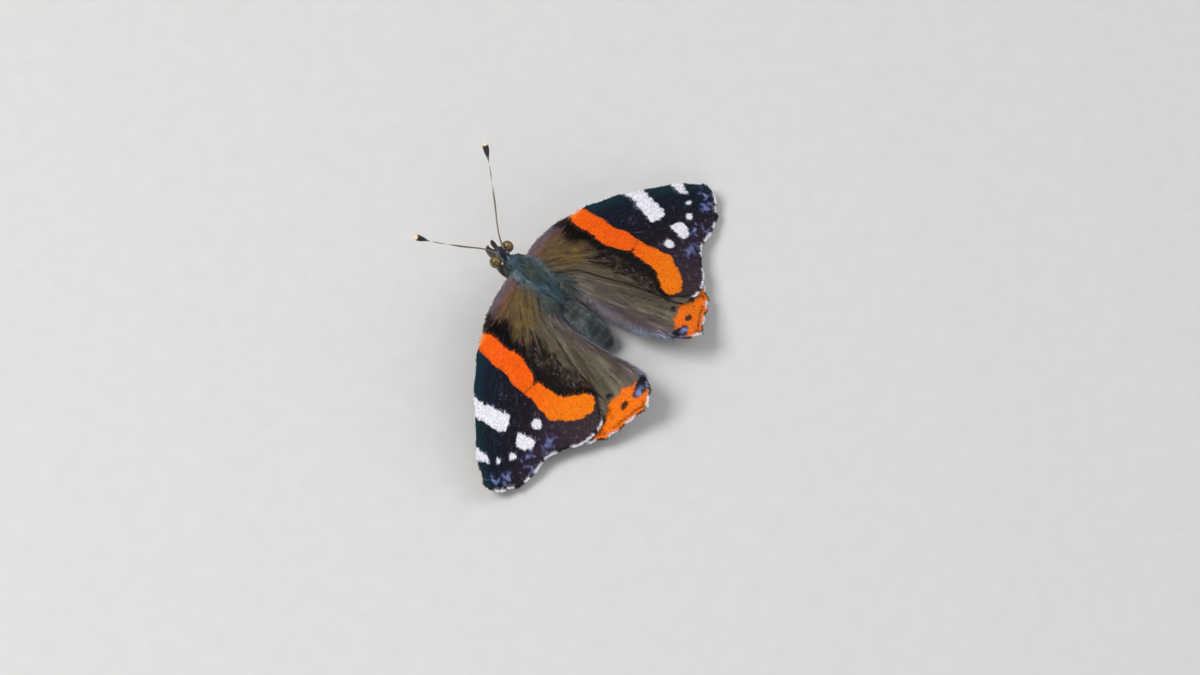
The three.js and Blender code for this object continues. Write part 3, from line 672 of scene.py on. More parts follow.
def paint_fore_under(x, y):
    """The underside repeats the upper markings, paler, with a mottled brown apex."""
    costa = y - np.interp(x, *zip(*FORE_FRONT))
    mottle = flat_noise(x, y, 0.9, 51)
    coat = np.broadcast_to(srgb(52, 40, 38), x.shape + (3,)).copy()
    coat = over(coat, smoothstep(x, 21, 25), mix(srgb(112, 92, 70), srgb(156, 138, 112), mottle[..., None]))
    coat = over(coat, smoothstep(9.5 - x, 0, 2) * 0.8, srgb(128, 62, 60))
    coat = over(coat, spot((9.8, 3.8), (0.8, 1.8), x, y, soft=0.3) * 0.8, VIOLET)
    coat = over(coat, patch(BAND, x, y, soft=0.2, seed=4), srgb(226, 104, 66))
    coat = over(coat, smoothstep(1.3 - costa, 0, 0.8) * 0.7, srgb(120, 108, 96))
    for outline in (BAR, STREAK):
        coat = over(coat, patch(outline, x, y, seed=6), srgb(232, 226, 220))
    for centre, radii in (((18.6, 15.1), (0.7, 0.7)), ((21.8, 15.1), (1.2, 1.3)),
                          ((24.8, 14.8), (0.7, 0.55))):
        coat = over(coat, spot(centre, radii, x, y, seed=9), srgb(232, 226, 220))
    coat = over(coat, spot((17.6, 5.6), (0.9, 1.6), x, y, soft=0.4) * 0.7, VIOLET)
    return over(coat, smoothstep(x - 0.6 * y, -3, -8) * 0.7, srgb(110, 100, 90))


def paint_hind_under(x, y):
    """Dark marbling of browns, with a row of faint eye spots inside the margin."""
    warp = 2.4 * flat_noise(x, y, 3.0, 61)
    bands = 0.5 + 0.5 * np.sin(1.7 * np.hypot(x - 2, y - 5) + 4 * warp)
    coat = mix(srgb(46, 36, 34), srgb(104, 86, 68), (bands * flat_noise(x, y, 0.8, 62))[..., None])
    coat = over(coat, np.clip(2.6 * flat_noise(x, y, 0.6, 63) - 1.5, 0, 1) * 0.6, srgb(140, 124, 102))
    for centre in ((14.6, 20.4), (13.1, 22.8), (11.0, 24.0), (8.6, 24.8)):
        coat = over(coat, spot(centre, (0.8, 0.7), x, y, soft=0.25) * 0.7, srgb(120, 112, 84))
        coat = over(coat, spot(centre, (0.35, 0.3), x, y, soft=0.12) * 0.8, srgb(40, 48, 60))
    return over(coat, spot((15.2, 14.6), (1.1, 0.8), x, y, soft=0.3) * 0.8, srgb(196, 176, 140))


# Materials: paint from the markings, grain from noise

def new_finish(name, roughness, sheen, grain, spread=0.18, bump=0.25, specular=0.35, colour=None):
    material = bpy.data.materials.new(name)
    material.use_nodes = True
    nodes, links = material.node_tree.nodes, material.node_tree.links
    shader = nodes["Principled BSDF"]
    where = nodes.new("ShaderNodeTexCoord")
    texture = nodes.new("ShaderNodeTexNoise")
    texture.inputs["Scale"].default_value = 1 / (grain * MM)
    texture.inputs["Detail"].default_value = 3
    links.new(where.outputs["Object"], texture.inputs["Vector"])
    level = nodes.new("ShaderNodeMapRange")
    level.inputs["From Min"].default_value = 0.3
    level.inputs["From Max"].default_value = 0.7
    level.inputs["To Min"].default_value = 1 - spread
    level.inputs["To Max"].default_value = 1 + spread
    links.new(texture.outputs["Fac"], level.inputs["Value"])
    if colour is None:
        paint = nodes.new("ShaderNodeAttribute")
        paint.attribute_name = "Paint"
        source = paint.outputs["Color"]
    else:
        fixed = nodes.new("ShaderNodeRGB")
        fixed.outputs[0].default_value = (*colour, 1)
        source = fixed.outputs[0]
    tone = nodes.new("ShaderNodeVectorMath")
    tone.operation = "SCALE"
    links.new(source, tone.inputs[0])
    links.new(level.outputs["Result"], tone.inputs["Scale"])
    links.new(tone.outputs["Vector"], shader.inputs["Base Color"])
    dull = nodes.new("ShaderNodeMapRange")
    dull.inputs["To Min"].default_value = max(roughness - 0.1, 0)
    dull.inputs["To Max"].default_value = min(roughness + 0.1, 1)
    links.new(texture.outputs["Fac"], dull.inputs["Value"])
    links.new(dull.outputs["Result"], shader.inputs["Roughness"])
    relief = nodes.new("ShaderNodeBump")
    relief.inputs["Strength"].default_value = bump
    relief.inputs["Distance"].default_value = 0.03 * MM
    links.new(texture.outputs["Fac"], relief.inputs["Height"])
    links.new(relief.outputs["Normal"], shader.inputs["Normal"])
    shader.inputs["Sheen Weight"].default_value = sheen
    shader.inputs["Sheen Roughness"].default_value = 0.4
    shader.inputs["Specular IOR Level"].default_value = specular
    return material


FOREWING_SKIN = new_finish("forewing_membrane", 0.7, 0.0, 0.12, spread=0.25)
FOREWING_SCALES = new_finish("forewing_scales", 0.66, 0.0, 0.10, specular=0.12)
HINDWING_SKIN = new_finish("hindwing_membrane", 0.75, 0.0, 0.12, spread=0.25)
HINDWING_SCALES = new_finish("hindwing_scales", 0.70, 0.03, 0.10, specular=0.14)
FUR = new_finish("body_hair", 0.7, 0.25, 0.30, specular=0.3)
SKIN = new_finish("body_skin", 0.8, 0.0, 0.20, spread=0.3)
HEAD_FUR = new_finish("head_hair", 0.7, 0.2, 0.20, specular=0.3)
EYE = new_finish("eye_facets", 0.28, 0.0, 0.25, spread=0.22, specular=0.6)
HORN = new_finish("antenna_cuticle", 0.45, 0.0, 0.10, specular=0.5)
LIMB = new_finish("leg_cuticle", 0.5, 0.0, 0.12, specular=0.4)
TONGUE = new_finish("tongue_cuticle", 0.4, 0.0, 0.08, specular=0.5)


# Wing pieces, made for the right side and turned over for the left

SIDES = (("right", 1), ("left", -1))
# Scales: the steps between them above and below, how far each is moved, and their sizes above
SCALE_STEP = (0.17, 0.19)
UNDER_STEP = (0.25, 0.28)
SCALE_JITTER = 0.35
SCALE_LENGTH = (0.27, 0.36)
SCALE_WIDTH = (0.15, 0.20)
SCALE_LIFT = (0.022, 0.055)
SCALE_THICKNESS = 0.012
FRINGE_REACH = (0.50, 0.42, 0.34)
# How far inside one wing's margin the other's scales and hair are hidden and left out
WING_OVERLAP = 1.6
PLAN_SPAN = 36


def plan_uv(x, y):
    return np.stack([(x + 1) / PLAN_SPAN, (y + 2) / PLAN_SPAN], -1)


def make_membrane(wing, side_name, way, paints, material):
    rows, columns = wing.grid.shape[:2]
    x, y = wing.grid[..., 0].ravel(), wing.grid[..., 1].ravel()
    faces = []
    points = []
    colours = []
    for side, paint in ((1, paints[0]), (-1, paints[1])):
        points.append(place(x, y, wing.surface(x, y, side)))
        colours.append(paint(x, y) * 0.8)
        r, c = np.meshgrid(np.arange(rows - 1), np.arange(columns - 1), indexing="ij")
        a = (r * columns + c + (0 if side > 0 else rows * columns)).ravel()
        quad = np.stack([a, a + 1, a + columns + 1, a + columns], -1)
        faces.append(quad if side > 0 else quad[:, ::-1])
    rim = np.concatenate([
        np.arange(columns - 1), np.arange(rows - 1) * columns + columns - 1,
        (rows - 1) * columns + np.arange(columns - 1, 0, -1), np.arange(rows - 1, 0, -1) * columns,
    ])
    nxt = np.roll(rim, -1)
    under = rows * columns
    faces.append(np.stack([nxt, rim, rim + under, nxt + under], -1))
    points = flip(np.concatenate(points), way)
    make_piece(f"{wing.name}_{side_name}_membrane", points, flip_faces(faces, way), material,
               nodes=(f"{wing.name}_{side_name}",), colours=np.concatenate(colours), weld=True)


def scatter(outline, step):
    """Points over a plan outline in staggered rows, each moved a little."""
    low, high = outline.min(0), outline.max(0)
    x, y = np.meshgrid(np.arange(low[0], high[0], step[0]), np.arange(low[1], high[1], step[1]))
    x = x + 0.5 * step[0] * (np.arange(len(x)) % 2)[:, None]
    x, y = x.ravel(), y.ravel()
    x = x + SCALE_JITTER * step[0] * rng.uniform(-1, 1, len(x))
    y = y + SCALE_JITTER * step[1] * rng.uniform(-1, 1, len(y))
    return x, y


def make_scales(wing, side_name, way, side, step, paint, material, hidden=None):
    x, y = scatter(wing.outline, step)
    keep = depth_inside(wing.outline[::2], x, y) > 0.05
    keep &= np.hypot(x, y - wing.hub[1]) > 2.0
    x, y = x[keep], y[keep]
    if hidden is not None:
        seen = ~hidden(x, y)
        x, y = x[seen], y[seen]
    order = rng.permutation(len(x))
    x, y = x[order], y[order]
    roots, normal, ahead = wing.frame(x, y, side)
    yaw = rng.normal(0, 0.13, len(x))[:, None]
    across = np.cross(normal, ahead)
    ahead = unit(ahead * np.cos(yaw) + across * np.sin(yaw))
    grow = step[0] / SCALE_STEP[0]
    length, width, lift = (rng.uniform(*size, len(x)) * grow for size in (SCALE_LENGTH, SCALE_WIDTH,
                                                                          SCALE_LIFT))
    tone = np.exp(rng.normal(0, 0.13, len(x)))[:, None]
    mesh = scale_mesh(roots, ahead, normal, length, width, lift, SCALE_THICKNESS, paint(x, y) * tone,
                      plan_uv(x, y))
    face = "upper" if side > 0 else "lower"
    make_coat_piece(f"{wing.name}_{side_name}_{face}_scales", mesh, way, material)


def margin_samples(wing, step, start, end):
    """Evenly spaced points along the margin from one place in plan to another, with the way out."""
    edge = wing.outline
    t = np.concatenate([[0], np.cumsum(np.hypot(*np.diff(edge, axis=0).T))])
    first, last = (t[np.argmin(np.hypot(*(edge - np.array(spot_at)).T))] for spot_at in (start, end))
    s = np.arange(first, last, step)
    x, y = np.interp(s, t, edge[:, 0]), np.interp(s, t, edge[:, 1])
    dx, dy = np.interp(s + 0.2, t, edge[:, 0]) - x, np.interp(s + 0.2, t, edge[:, 1]) - y
    out = unit(np.stack([dy, -dx], -1))
    return x, y, out


def make_fringe(wing, side_name, way, material, dark, start, end):
    """Rows of long narrow scales that stand out of the margin, white between the veins."""
    parts = []
    for row, reach in enumerate(FRINGE_REACH):
        x, y, out = margin_samples(wing, 0.06, start, end)
        x = x - out[:, 0] * (0.10 + 0.10 * row)
        y = y - out[:, 1] * (0.10 + 0.10 * row)
        middle = wing.height(x, y) + (0.03, 0.0, -0.03)[row]
        roots = place(x, y, middle)
        far = 0.3
        ahead = unit(place(x + out[:, 0] * far, y + out[:, 1] * far, middle + (wing.height(
            x + out[:, 0] * far, y + out[:, 1] * far) - wing.height(x, y))) - roots)
        lean = rng.normal(0, 0.12, len(x))[:, None]
        up = np.array([0, 0, 1.0])
        ahead = unit(ahead + lean * np.cross(up, ahead) + rng.normal(0, 0.05, (len(x), 1)) * up)
        normal = unit(up - (ahead @ up)[:, None] * ahead)
        white = fringe_white(x, y)
        fade = np.clip(np.minimum(np.arange(len(x)), np.arange(len(x))[::-1]) / 12, 0.3, 1)
        colours = over(np.broadcast_to(dark, (len(x), 3)).copy(), white, WHITE * 0.92)
        colours = colours * np.exp(rng.normal(0, 0.12, len(x)))[:, None]
        length = reach * rng.uniform(0.75, 1.1, len(x)) * fade
        parts.append(scale_mesh(roots, ahead, normal, length, np.full(len(x), 0.09), np.full(len(x), 0.0),
                                0.02,
                                colours, plan_uv(x, y)))
    make_coat_piece(f"{wing.name}_{side_name}_fringe", join_parts(parts), way, material)


def join_parts(parts):
    """Several scale or tuft meshes as one."""
    first = np.cumsum([0] + [len(p[0]) for p in parts])
    quads, ends = (np.concatenate([p[k] + n for p, n in zip(parts, first)]) for k in (1, 2))
    points, colours, uv = (np.concatenate([p[k] for p in parts]) for k in (0, 3, 4))
    return points, quads, ends, colours, uv


def under_forewing(x, y):
    return margin_depth(fore, x, y) > WING_OVERLAP


def above_hindwing(x, y):
    return margin_depth(hind, x, y) > WING_OVERLAP


def make_wings():
    for side_name, way in SIDES:
        make_membrane(fore, side_name, way, (paint_fore_top, paint_fore_under), FOREWING_SKIN)
        make_scales(fore, side_name, way, 1, SCALE_STEP, paint_fore_top, FOREWING_SCALES)
        make_scales(fore, side_name, way, -1, UNDER_STEP, paint_fore_under, FOREWING_SCALES, above_hindwing)
        make_fringe(fore, side_name, way, FOREWING_SCALES, srgb(40, 30, 30), (30.9, 12.6), (12.2, 23.3))
        make_membrane(hind, side_name, way, (paint_hind_top, paint_hind_under), HINDWING_SKIN)
        make_scales(hind, side_name, way, 1, SCALE_STEP, paint_hind_top, HINDWING_SCALES, under_forewing)
        make_scales(hind, side_name, way, -1, UNDER_STEP, paint_hind_under, HINDWING_SCALES)
        make_fringe(hind, side_name, way, HINDWING_SCALES, srgb(60, 46, 40), (16.6, 18.2), (4.4, 26.0))


# Body: stations along its axis of half width, height above and depth below

HEAD = [
    [-4.45, 0.40, 0.38, 0.45], [-4.25, 0.80, 0.72, 0.85], [-3.80, 1.15, 1.02, 1.15],
    [-3.20, 1.30, 1.15, 1.25],
    [-2.60, 1.15, 1.05, 1.15], [-2.30, 0.85, 0.80, 0.90],
]
THORAX = [
    [-2.0, 1.05, 0.95, 1.15], [-1.5, 1.50, 1.30, 1.70], [-0.7, 2.00, 1.75, 2.25], [0.6, 2.40, 2.15, 2.65],
    [2.2, 2.60, 2.35, 2.85], [4.2, 2.60, 2.35, 2.75], [5.8, 2.42, 2.15, 2.45], [7.2, 2.02, 1.75, 1.95],
    [8.2, 1.50, 1.30, 1.40], [8.7, 1.15, 1.00, 1.05],
]
ABDOMEN_START = 9.0
ABDOMEN_END = 18.6
ABDOMEN_SWELL = [
    [0, 0.80], [0.10, 0.92], [0.25, 0.98], [0.40, 1.0], [0.55, 0.98], [0.70, 0.93], [0.80, 0.86],
    [0.88, 0.75],
    [0.94, 0.60], [0.98, 0.42], [1, 0.25],
]
ABDOMEN_RINGS = 7
ABDOMEN_HALF_WIDTH = 2.15
BODY_COAT = 0.22
BODY_LOW, BODY_HIGH = -4.6, 18.6
BODY_ROWS = 260
BODY_TURNS = 72


def body_profile():
    share, swell = np.array(ABDOMEN_SWELL).T
    half = ABDOMEN_HALF_WIDTH * swell
    abdomen = np.stack([mix(ABDOMEN_START, ABDOMEN_END, share), half, 0.90 * half, 0.94 * half], 1)
    stations = np.concatenate([HEAD, THORAX, abdomen])
    along = np.linspace(BODY_LOW, BODY_HIGH, 481)
    sizes = np.stack([np.interp(along, stations[:, 0], stations[:, k]) for k in (1, 2, 3)], 1)
    reach = np.arange(-8, 9)
    kernel = np.exp(-(reach / 4.0) ** 2)
    kernel /= kernel.sum()
    padded = np.pad(sizes, ((8, 8), (0, 0)), mode="edge")
    sizes = np.stack([np.convolve(padded[:, k], kernel, mode="valid") for k in range(3)], 1)
    return along, np.maximum(sizes - BODY_COAT, 0.10)


PROFILE = body_profile()


def bell(value, centre, width):
    return np.exp(-((value - centre) / width) ** 2)


def abdomen_ring(along):
    """How far through its ring each point of the abdomen is, from 0 to 1, or -1 off the abdomen."""
    share = (along - ABDOMEN_START) / (ABDOMEN_END - ABDOMEN_START) * ABDOMEN_RINGS
    return np.where((share > 0) & (share < ABDOMEN_RINGS), share % 1, -1)


def body_swell(along, turn):
    """Plates and folds raised on the round body."""
    side = np.pi / 2 - np.abs((turn + 2 * np.pi) % (2 * np.pi) - np.pi / 2)
    side = np.where((turn % (2 * np.pi)) > 1.5 * np.pi, np.pi / 2 - (2.5 * np.pi - turn % (2 * np.pi)), side)
    swell = 0.34 * bell(along, 0.9, 1.3) * bell(side, 0.55, 0.36)
    swell = swell + 0.26 * bell(along, 4.0, 3.4) * bell(side, 0.75, 0.32)
    swell = swell + 0.22 * bell(along, -1.35, 0.42) * bell(side, 0.95, 0.45)
    swell = swell + 0.24 * bell(along, 6.9, 0.7) * bell(side, np.pi / 2, 0.5)
    swell = swell - 0.07 * bell(side, np.pi / 2, 0.10) * smoothstep(along, -0.5,
                                                                    0.5) * (1 - smoothstep(along, 5, 6))
    ring = abdomen_ring(along)
    return swell + np.where(ring >= 0, 0.10 * (ring - 0.5) - 0.10 * bell(ring, 1.0, 0.06), 0)


def body_point(along, turn):
    along, turn = np.broadcast_arrays(np.asarray(along, float), np.asarray(turn, float))
    width, above, below = (np.interp(along, PROFILE[0], PROFILE[1][:, k]) for k in range(3))
    high = mix(below, above, smoothstep(np.sin(turn), -0.35, 0.35))
    grow = body_swell(along, turn)
    return on_body((width + grow) * np.cos(turn), along, (high + grow) * np.sin(turn))


def body_frame(along, turn):
    """Points on the body with the normal and the way back along it."""
    here = body_point(along, turn)
    back = unit(body_point(along + 0.08, turn) - body_point(along - 0.08, turn))
    around = body_point(along, turn + 0.03) - body_point(along, turn - 0.03)
    return here, unit(np.cross(around, back)), back


EYE_CENTRE = (1.65, -3.2, 0.0)
EYE_RADII = (0.86, 0.94, 0.97)
EYE_CLEARANCE = 1.02


def eye_distance(points):
    """How far each point lies from the middle of the nearer eye."""
    middles = [on_body(way * EYE_CENTRE[0], EYE_CENTRE[1], EYE_CENTRE[2]) for way in (1, -1)]
    return np.minimum(*(np.linalg.norm(points - middle, axis=-1) for middle in middles))


def paint_body(along, turn):
    """The coat's colours: teal-grey thorax, flecked head and mottled abdomen."""
    p = body_point(along, turn)
    up = np.sin(turn)
    fine = noise(p, 0.45, 71)
    drawn = noise(np.stack([turn * 9, along / 1.6, np.zeros_like(along)], -1), 1.0, 72)
    patchy = noise(p, 1.5, 73)
    blotch = noise(p, 0.8, 74)
    coat = mix(srgb(30, 56, 64), srgb(82, 116, 126), smoothstep(drawn, 0.2, 0.85)[..., None])
    coat = over(coat,
                bell(along, 0.9, 2.0) * smoothstep(patchy, 0.35, 0.7) * smoothstep(up, 0.5, 0.85) * 0.75,
                srgb(82, 90, 66))
    coat = over(coat, smoothstep(blotch, 0.5, 0.8) * (along > -1) * 0.45, srgb(28, 44, 46))
    coat = over(coat, smoothstep(patchy, 0.45, 0.75) * smoothstep(along, 3.0, 5.5) * 0.6, srgb(34, 74, 92))
    joint = bell(up, 0.66, 0.13) * smoothstep(along, -0.9, -0.3) * (1 - smoothstep(along, 4.5, 6.5))
    coat = over(coat, joint * smoothstep(fine, 0.2, 0.5) * 0.85, srgb(142, 154, 160))
    coat = over(coat, smoothstep(-up, 0.2, 0.7) * 0.7, srgb(120, 112, 98))
    coat = over(coat,
                bell(along, -1.45, 0.6) * (1 - smoothstep(up, 0.55, 0.8)) * smoothstep(up, -0.4, 0) * 0.85,
                srgb(44, 48, 36))
    coat = over(coat, bell(along, -1.55, 0.40) * smoothstep(up, 0.68, 0.90) * (0.3 + 0.6 * fine),
                srgb(92, 106, 136))
    coat = over(coat, bell(along, -0.95, 0.2) * 0.6, srgb(26, 32, 36))
    head = smoothstep(-along, 2.05, 2.3)
    coat = over(coat, head, mix(srgb(22, 24, 28), srgb(60, 62, 70), fine[..., None]))
    coat = over(coat, head * smoothstep(fine, 0.64, 0.74) * 0.95, srgb(168, 178, 214))
    coat = over(coat, head * smoothstep(-along, 3.9, 4.3) * 0.6, srgb(104, 92, 80))
    coat = over(coat, head * smoothstep(-up, 0.1, 0.6) * 0.7, srgb(150, 144, 134))
    coat = over(coat, head * np.clip(1.30 - eye_distance(p), 0, 0.2) * 2.0, srgb(172, 176, 184))
    coat = over(coat, bell(along, 8.55, 0.55) * smoothstep(blotch, 0.25, 0.5) * 0.95, srgb(8, 12, 13))
    coat = over(coat, bell(along, 8.8, 0.3) * smoothstep(fine, 0.6, 0.75) * 0.8, srgb(130, 142, 132))
    ring = abdomen_ring(along)
    belly = mix(srgb(60, 70, 68), srgb(116, 120, 112), smoothstep(drawn, 0.2, 0.85)[..., None])
    belly = over(belly, smoothstep(blotch, 0.45, 0.75) * 0.6, srgb(52, 54, 42))
    rear = smoothstep(along + 2.2 * (patchy - 0.5), 12, 14)
    belly = over(belly, rear * bell(turn, np.pi / 2, 0.9) * 0.9, srgb(20, 44, 52))
    flank = bell(np.abs(turn - np.pi / 2), 1.05, 0.34)
    belly = over(belly, flank * (0.45 + 0.45 * fine), srgb(132, 148, 162))
    belly = over(belly, smoothstep(ring, 0.72, 0.86) * 0.45, srgb(138, 142, 130))
    belly = over(belly, bell(ring, 0.3, 0.24) * bell(up, 0.75, 0.25) * smoothstep(blotch, 0.3, 0.6) * 0.8,
                 srgb(16, 24, 26))
    belly = over(belly, smoothstep(-up, 0.1, 0.6) * 0.75, srgb(150, 138, 116))
    return over(coat, smoothstep(along, 8.9, 9.4), belly)


def make_body():
    along = np.linspace(BODY_LOW, BODY_HIGH - 0.02, BODY_ROWS)
    turn = 2 * np.pi * np.arange(BODY_TURNS) / BODY_TURNS
    a, t = np.meshgrid(along, turn, indexing="ij")
    points = tube_points(body_point(a, t))
    quads, ends = tube_faces(BODY_ROWS, BODY_TURNS)
    colours = paint_body(a.ravel(), t.ravel()) * 0.45
    colours = np.concatenate([colours, colours[:1], colours[-1:]])
    make_piece("body_skin", points, [quads, ends], SKIN, nodes=("thorax", "head", "abdomen"),
               colours=colours)


def body_uv(along, turn):
    round_share = (turn / (2 * np.pi)) % 1
    along_share = (along - BODY_LOW) / (BODY_HIGH - BODY_LOW)
    return np.stack([round_share * 0.98 + 0.01, along_share * 0.98 + 0.01], -1)


def make_fur(name, count, span, length, width, stand, material, droop=0.25, keep=None, spread=0.0):
    """Tufts spread evenly over a stretch of the body, leaning back along it."""
    along = rng.uniform(span[0], span[1], 3 * count)
    turn = rng.uniform(0, 2 * np.pi, 3 * count)
    girth = np.interp(along, PROFILE[0], PROFILE[1][:, 0])
    chosen = rng.uniform(0, girth.max(), 3 * count) < girth
    if keep is not None:
        chosen &= keep(along, turn)
    along, turn = along[chosen][:count], turn[chosen][:count]
    roots, normal, back = body_frame(along, turn)
    around = np.cross(normal, back)
    scatter_side = rng.normal(0, 0.22, (len(along), 1))
    rise = stand * rng.uniform(0.7, 1.3, (len(along), 1))
    outward = spread * np.sign(roots[:, :1]) * np.array([1.0, 0, 0])
    start = unit(back + normal * (rise + 0.35) + around * scatter_side + outward)
    finish = unit(back + normal * (rise - droop) + around * scatter_side * 1.5 + outward + np.array([0, 0,
                                                                                                     -0.1]))
    grow_tufts(name, 1, material, roots - normal * 0.03, start, finish, length, width, (0, 0.3),
               paint_body(along, turn), body_uv(along, turn), tip=1.15)


def clear_of_eyes(along, turn):
    return eye_distance(body_point(along, turn)) > EYE_CLEARANCE


def over_shoulder(along, turn):
    return np.abs(np.sin(turn) - 0.55) < 0.30


def at_wing_joint(along, turn):
    return np.abs(np.sin(turn) - 0.64) < 0.12


def make_coat():
    make_fur("thorax_fur", 11500, (-1.9, 8.6), (0.55, 1.15), (0.04, 0.07), 0.28, FUR)
    make_fur("shoulder_fur", 4200, (-0.6, 8.2), (0.9, 1.7), (0.035, 0.06), 0.34, FUR,
             keep=over_shoulder, spread=0.12)
    make_fur("joint_fur", 2200, (-0.7, 5.2), (0.8, 1.5), (0.03, 0.05), 0.3, FUR,
             keep=at_wing_joint, spread=0.12)
    make_fur("abdomen_fur", 11000, (8.7, 18.5), (0.4, 0.85), (0.04, 0.065), 0.16, FUR,
             droop=0.1)
    make_fur("head_fur", 5200, (-4.5, -1.9), (0.20, 0.50), (0.028, 0.045), 0.55, HEAD_FUR,
             droop=0.1,
             keep=clear_of_eyes)


def fibonacci(count):
    """Even directions over a ball, for the lenses of an eye."""
    k = np.arange(count) + 0.5
    z = 1 - 2 * k / count
    turn = np.pi * (1 + 5 ** 0.5) * k
    r = np.sqrt(1 - z * z)
    return np.stack([r * np.cos(turn), r * np.sin(turn), z], -1)


FACETS = 1500
FACET_RISE = 0.016


def make_eyes():
    work = bmesh.new()
    bmesh.ops.create_icosphere(work, subdivisions=6, radius=1)
    ball = np.array([v.co[:] for v in work.verts])
    faces = np.array([[v.index for v in f.verts] for f in work.faces])
    work.free()
    lenses = fibonacci(FACETS)
    nearest = np.concatenate([(part @ lenses.T).max(1) for part in np.array_split(ball, 24)])
    reach = np.sqrt(np.maximum(2 - 2 * nearest, 0)) / math.sqrt(4 * math.pi / FACETS) * 1.7
    dome = np.clip(1 - reach ** 2, -0.2, 1)
    size = np.array(EYE_RADII) + FACET_RISE * dome[:, None]
    local = ball * size
    across = EYE_CENTRE[0] + local[:, 0]
    points = on_body(across, EYE_CENTRE[1] - local[:, 1], EYE_CENTRE[2] + local[:, 2])
    lumps = noise(ball, 0.42, 81)
    colours = mix(srgb(74, 54, 20), srgb(134, 104, 46), smoothstep(lumps, 0.3, 0.75)[:, None])
    # Painted shade: the lower part of each eye darker and browner.
    colours = over(colours, smoothstep(-ball[:, 2], 0.1, 0.8) * 0.6, srgb(84, 54, 22))
    for spot_at in ((0.75, 0.35, 0.55), (0.8, -0.3, 0.5), (0.95, 0.05, 0.05)):
        near = np.linalg.norm(ball - unit(np.array(spot_at)), axis=1)
        colours = over(colours, np.clip(1.3 - near / 0.13, 0, 1) * 0.75, srgb(52, 32, 12))
    # Painted shade: each eye darker in the creases between its lenses.
    colours = colours * (0.72 + 0.28 * np.clip(dome, 0, 1))[:, None]
    for side_name, way in SIDES:
        make_piece(f"eye_{side_name}_facets", flip(points, way), flip_faces([faces], way), EYE,
                   nodes=(f"eye_{side_name}",), colours=colours)


# Feelers, mouthparts and legs, as points along their middles with a radius at each

ANTENNA = [
    [0.50, -2.7, 1.7, 0.20], [1.2, -3.85, 2.95, 0.13], [4.8, -7.2, 6.6, 0.13], [8.54, -10.71, 10.5, 0.15],
    [8.85, -11.05, 10.9, 0.30], [9.3, -11.55, 11.45, 0.45], [9.62, -11.9, 11.85, 0.38],
    [9.80, -12.09, 12.07, 0.08],
]
ANTENNA_RINGS = 46


def make_tube(name, path, radii, sides, material, colours, node, flat=1.0, way=1):
    points = flip(tube_points(limb_rings(path, radii, sides, flat)), way)
    faces = flip_faces(tube_faces(len(path), sides), way)
    paint = np.concatenate([np.repeat(colours, sides, axis=0), colours[:1], colours[-1:]])
    make_piece(name, points, faces, material, nodes=(node,), colours=paint)


def make_antennae():
    path = resample(ANTENNA, 460)
    share = np.linspace(0, 1, len(path))
    ring = (share * ANTENNA_RINGS) % 1
    club = smoothstep(share, 0.86, 0.90)
    radii = path[:, 3] * (1 + (0.16 * bell(ring, 0.55, 0.35) - 0.06) * mix(1, 0.45, club))
    colours = np.broadcast_to(srgb(52, 38, 30), (len(path), 3)).copy()
    colours = over(colours, bell(ring, 0.1, 0.16) * (1 - club) * 0.85, srgb(206, 200, 186))
    colours = over(colours, club, srgb(26, 20, 20))
    colours = over(colours, smoothstep(share, 0.972, 0.985), srgb(232, 206, 158))
    centre = place(path[:, 0], path[:, 1], path[:, 2])
    for side_name, way in SIDES:
        make_tube(f"antenna_{side_name}_rings", centre, radii, 20, HORN, colours,
                  f"antenna_{side_name}", way=way)


PALP = [
    [0.75, -3.5, -0.80, 0.20], [0.76, -4.35, -0.90, 0.28], [0.68, -5.0, -0.50, 0.27],
    [0.56, -5.6, 0.12, 0.08],
]
PALP_HAIRS = 700
COIL_CENTRE = (-4.3, -1.9)
COIL_RADII = (1.15, 0.28)
COIL_TURNS = 1.15


def limb_uv(turn, share):
    return np.stack([turn / 6.4, share], -1)


def make_mouth():
    path = resample(PALP, 60)
    centre = on_body(path[:, 0], path[:, 1], path[:, 2])
    share = np.linspace(0, 1, 60)
    colours = mix(srgb(120, 112, 104), srgb(60, 48, 42), smoothstep(share, 0.3, 0.9)[:, None])
    ahead = unit(np.gradient(centre, axis=0))
    for side_name, way in SIDES:
        make_tube(f"palp_{side_name}_skin", centre, path[:, 3], 16, LIMB, colours,
                  f"palp_{side_name}", way=way)
        at = rng.integers(0, 58, PALP_HAIRS)
        turn = rng.uniform(0, 2 * np.pi, PALP_HAIRS)
        side = unit(np.cross(ahead[at], np.array([0, 0, 1.0])))
        out = side * np.cos(turn)[:, None] + np.cross(ahead[at], side) * np.sin(turn)[:, None]
        grow_tufts(f"palp_{side_name}_fur", way, FUR, centre[at] + out * path[at, 3:4] * 0.9,
                   unit(ahead[at] + 0.6 * out), unit(ahead[at] + 0.15 * out), (0.25, 0.5), (0.03, 0.05),
                   (0, 0.25), colours[at], limb_uv(turn, share[at]), tip=1)
    steps = 260
    share = np.linspace(0, 1, steps)
    turn = 2 * np.pi * COIL_TURNS * share - np.pi / 2
    reach = mix(COIL_RADII[0], COIL_RADII[1], share)
    path = on_body(np.zeros(steps), COIL_CENTRE[0] - reach * np.cos(turn),
                   COIL_CENTRE[1] - reach * np.sin(turn))
    root = mix(on_body(0, -3.7, -0.7)[None], path[:1], np.linspace(0, 1, 30)[:-1, None])
    path = np.concatenate([root, path])
    fine = np.linspace(0, 1, len(path))
    radii = mix(0.17, 0.09, fine) * (1 + 0.10 * np.sin(fine * 2 * np.pi * 90))
    colours = np.broadcast_to(srgb(70, 48, 34), (len(path), 3)) * (1 + 0.25 * np.sin(fine * 560))[:, None]
    make_tube("proboscis_coil", path, radii, 14, TONGUE, colours, "proboscis", flat=1.2)


